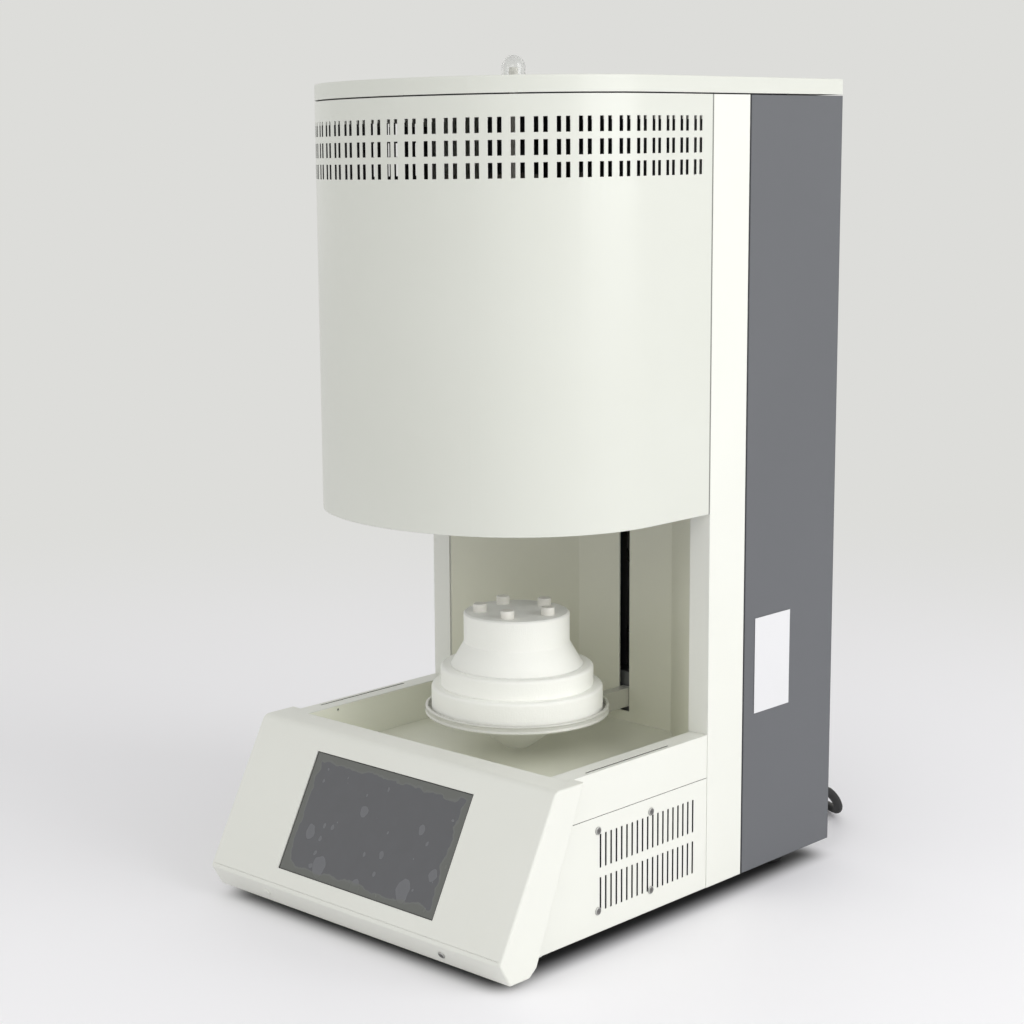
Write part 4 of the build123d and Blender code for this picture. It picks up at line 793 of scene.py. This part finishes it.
# %% Mains lead
cord_diameter = 0.0088
coil_centre = Vector((0.006, 0.316))
coil_mid_radius = 0.0525
lying = 0.0045
lead_route = [
    (0.136, 0.2465, 0.050),
    (0.136, 0.279, 0.050),
    (0.133, 0.307, 0.028),
    (0.120, 0.330, 0.009),
    (0.094, 0.350, lying),
    (0.064, 0.362, lying),
    (0.036, 0.3705, lying),
]
tail_route = [
    (0.0625, 0.3421, 0.0150),
    (0.0505, 0.3575, 0.0200),
    (0.0335, 0.3660, 0.0262),
    (0.0200, 0.3660, 0.0286),
]
points_per_turn = 24
row_radii = [coil_mid_radius + shift * cord_diameter for shift in (1, 0, -1, -1, 0, 1)]
row_heights = [lying] * 3 + [lying + cord_diameter] * 3
jog_start, jog_end = math.radians(-80), math.radians(60)
coil_start, coil_end = math.radians(75), math.radians(10 + 360 * 5)


def smooth_step(value):
    """A step from 0 to 1 that starts and ends gently."""
    value = min(1.0, max(0.0, value))
    return value * value * (3 - 2 * value)


def coil_point(angle):
    """The place of the turn that lies at an angle, counted on from turn to turn."""
    row, inside = divmod(angle - jog_end, 2 * math.pi)
    row = int(row)
    jog = smooth_step((inside + jog_end - jog_start - 2 * math.pi) / (jog_end - jog_start))
    following = min(row + 1, len(row_radii) - 1)
    radius = row_radii[row] + (row_radii[following] - row_radii[row]) * jog
    height = row_heights[row] + (row_heights[following] - row_heights[row]) * jog
    radius /= math.cos(math.pi / points_per_turn)
    return (coil_centre.x + radius * math.cos(angle), coil_centre.y + radius * math.sin(angle), height)


count = round((coil_end - coil_start) / (2 * math.pi) * points_per_turn)
coil_route = [coil_point(coil_start + (coil_end - coil_start) * i / count) for i in range(count + 1)]
route = lead_route + coil_route + tail_route

cord_curve = bpy.data.curves.new("mains_lead", "CURVE")
cord_curve.dimensions = "3D"
spline = cord_curve.splines.new("NURBS")
spline.points.add(len(route) - 1)
for point, place_on_route in zip(spline.points, route):
    point.co = (*place_on_route, 1.0)
spline.order_u = 3
spline.use_endpoint_u = True
spline.resolution_u = 6
cord_curve.bevel_depth = cord_diameter / 2
cord_curve.bevel_resolution = 5
cord_curve.use_fill_caps = True
mains_lead = bpy.data.objects.new("mains_lead", cord_curve)
scene.collection.objects.link(mains_lead)
cord_curve.materials.append(black_rubber)
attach(mains_lead, "cabinet")
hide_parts("cord_lead", "cord_coil")
print("lead points", len(route))

# %% [markdown]
# Where a lead leaves a housing, a tapered rubber sleeve keeps it from kinking. It grows out
# of the gland's nose: a disc is extruded step by step, and each step is made narrower, with
# grooves between the ribs so that it can bend. The lead starts to sag inside it, so its
# points are moved onto the lead's own curve, a parabola between the first route points.

# %% Strain relief sleeve
sleeve_radius, sleeve_end_radius = 0.0068, 0.0050
rib, groove, groove_depth, ribs = 0.0026, 0.0012, 0.0009, 8
bpy.ops.object.select_all(action="DESELECT")
bpy.ops.mesh.primitive_circle_add(vertices=32, radius=sleeve_radius, fill_type="NGON")
sleeve = start_piece("strain_relief")
pick_faces(sleeve, lambda centre, normal: True)
bpy.ops.mesh.extrude_region_move(TRANSFORM_OT_translate={"value": (0, 0, rib)})
radius = sleeve_radius
for step in range(1, ribs):
    wide = sleeve_radius + (sleeve_end_radius - sleeve_radius) * step / (ribs - 1)
    narrow = wide - groove_depth
    for run, target in ((0.0, narrow), (groove, narrow), (0.0, wide), (rib, wide)):
        bpy.ops.mesh.extrude_region_move(TRANSFORM_OT_translate={"value": (0, 0, run)})
        bpy.ops.transform.resize(value=(target / radius, target / radius, 1))
        radius = target
bpy.ops.mesh.select_all(action="SELECT")
bpy.ops.mesh.remove_doubles(threshold=0.00001)
bpy.ops.mesh.normals_make_consistent(inside=False)
bpy.ops.object.mode_set(mode="OBJECT")
soft = sleeve.modifiers.new("soft", "BEVEL")
soft.width = 0.00025
soft.segments = 2
soft.limit_method = "ANGLE"
apply_modifiers(sleeve)

exit_point, first_bend, second_bend = (Vector(point) for point in lead_route[:3])
middle = (first_bend + second_bend) / 2
inside_gland = 0.0013
for point in sleeve.data.vertices:
    across, up, along = point.co
    t = max(0.0, along - inside_gland) / (2 * (first_bend - exit_point).length)
    on_lead = exit_point * (1 - t) ** 2 + first_bend * 2 * t * (1 - t) + middle * t * t
    point.co = (on_lead.x + across, exit_point.y - inside_gland + along, on_lead.z + up)
bpy.ops.object.mode_set(mode="EDIT")
bpy.ops.mesh.select_all(action="SELECT")
bpy.ops.mesh.normals_make_consistent(inside=False)
finish_piece(sleeve, black_rubber, "cabinet")
print("sleeve", [round(v, 4) for v in sleeve.dimensions])
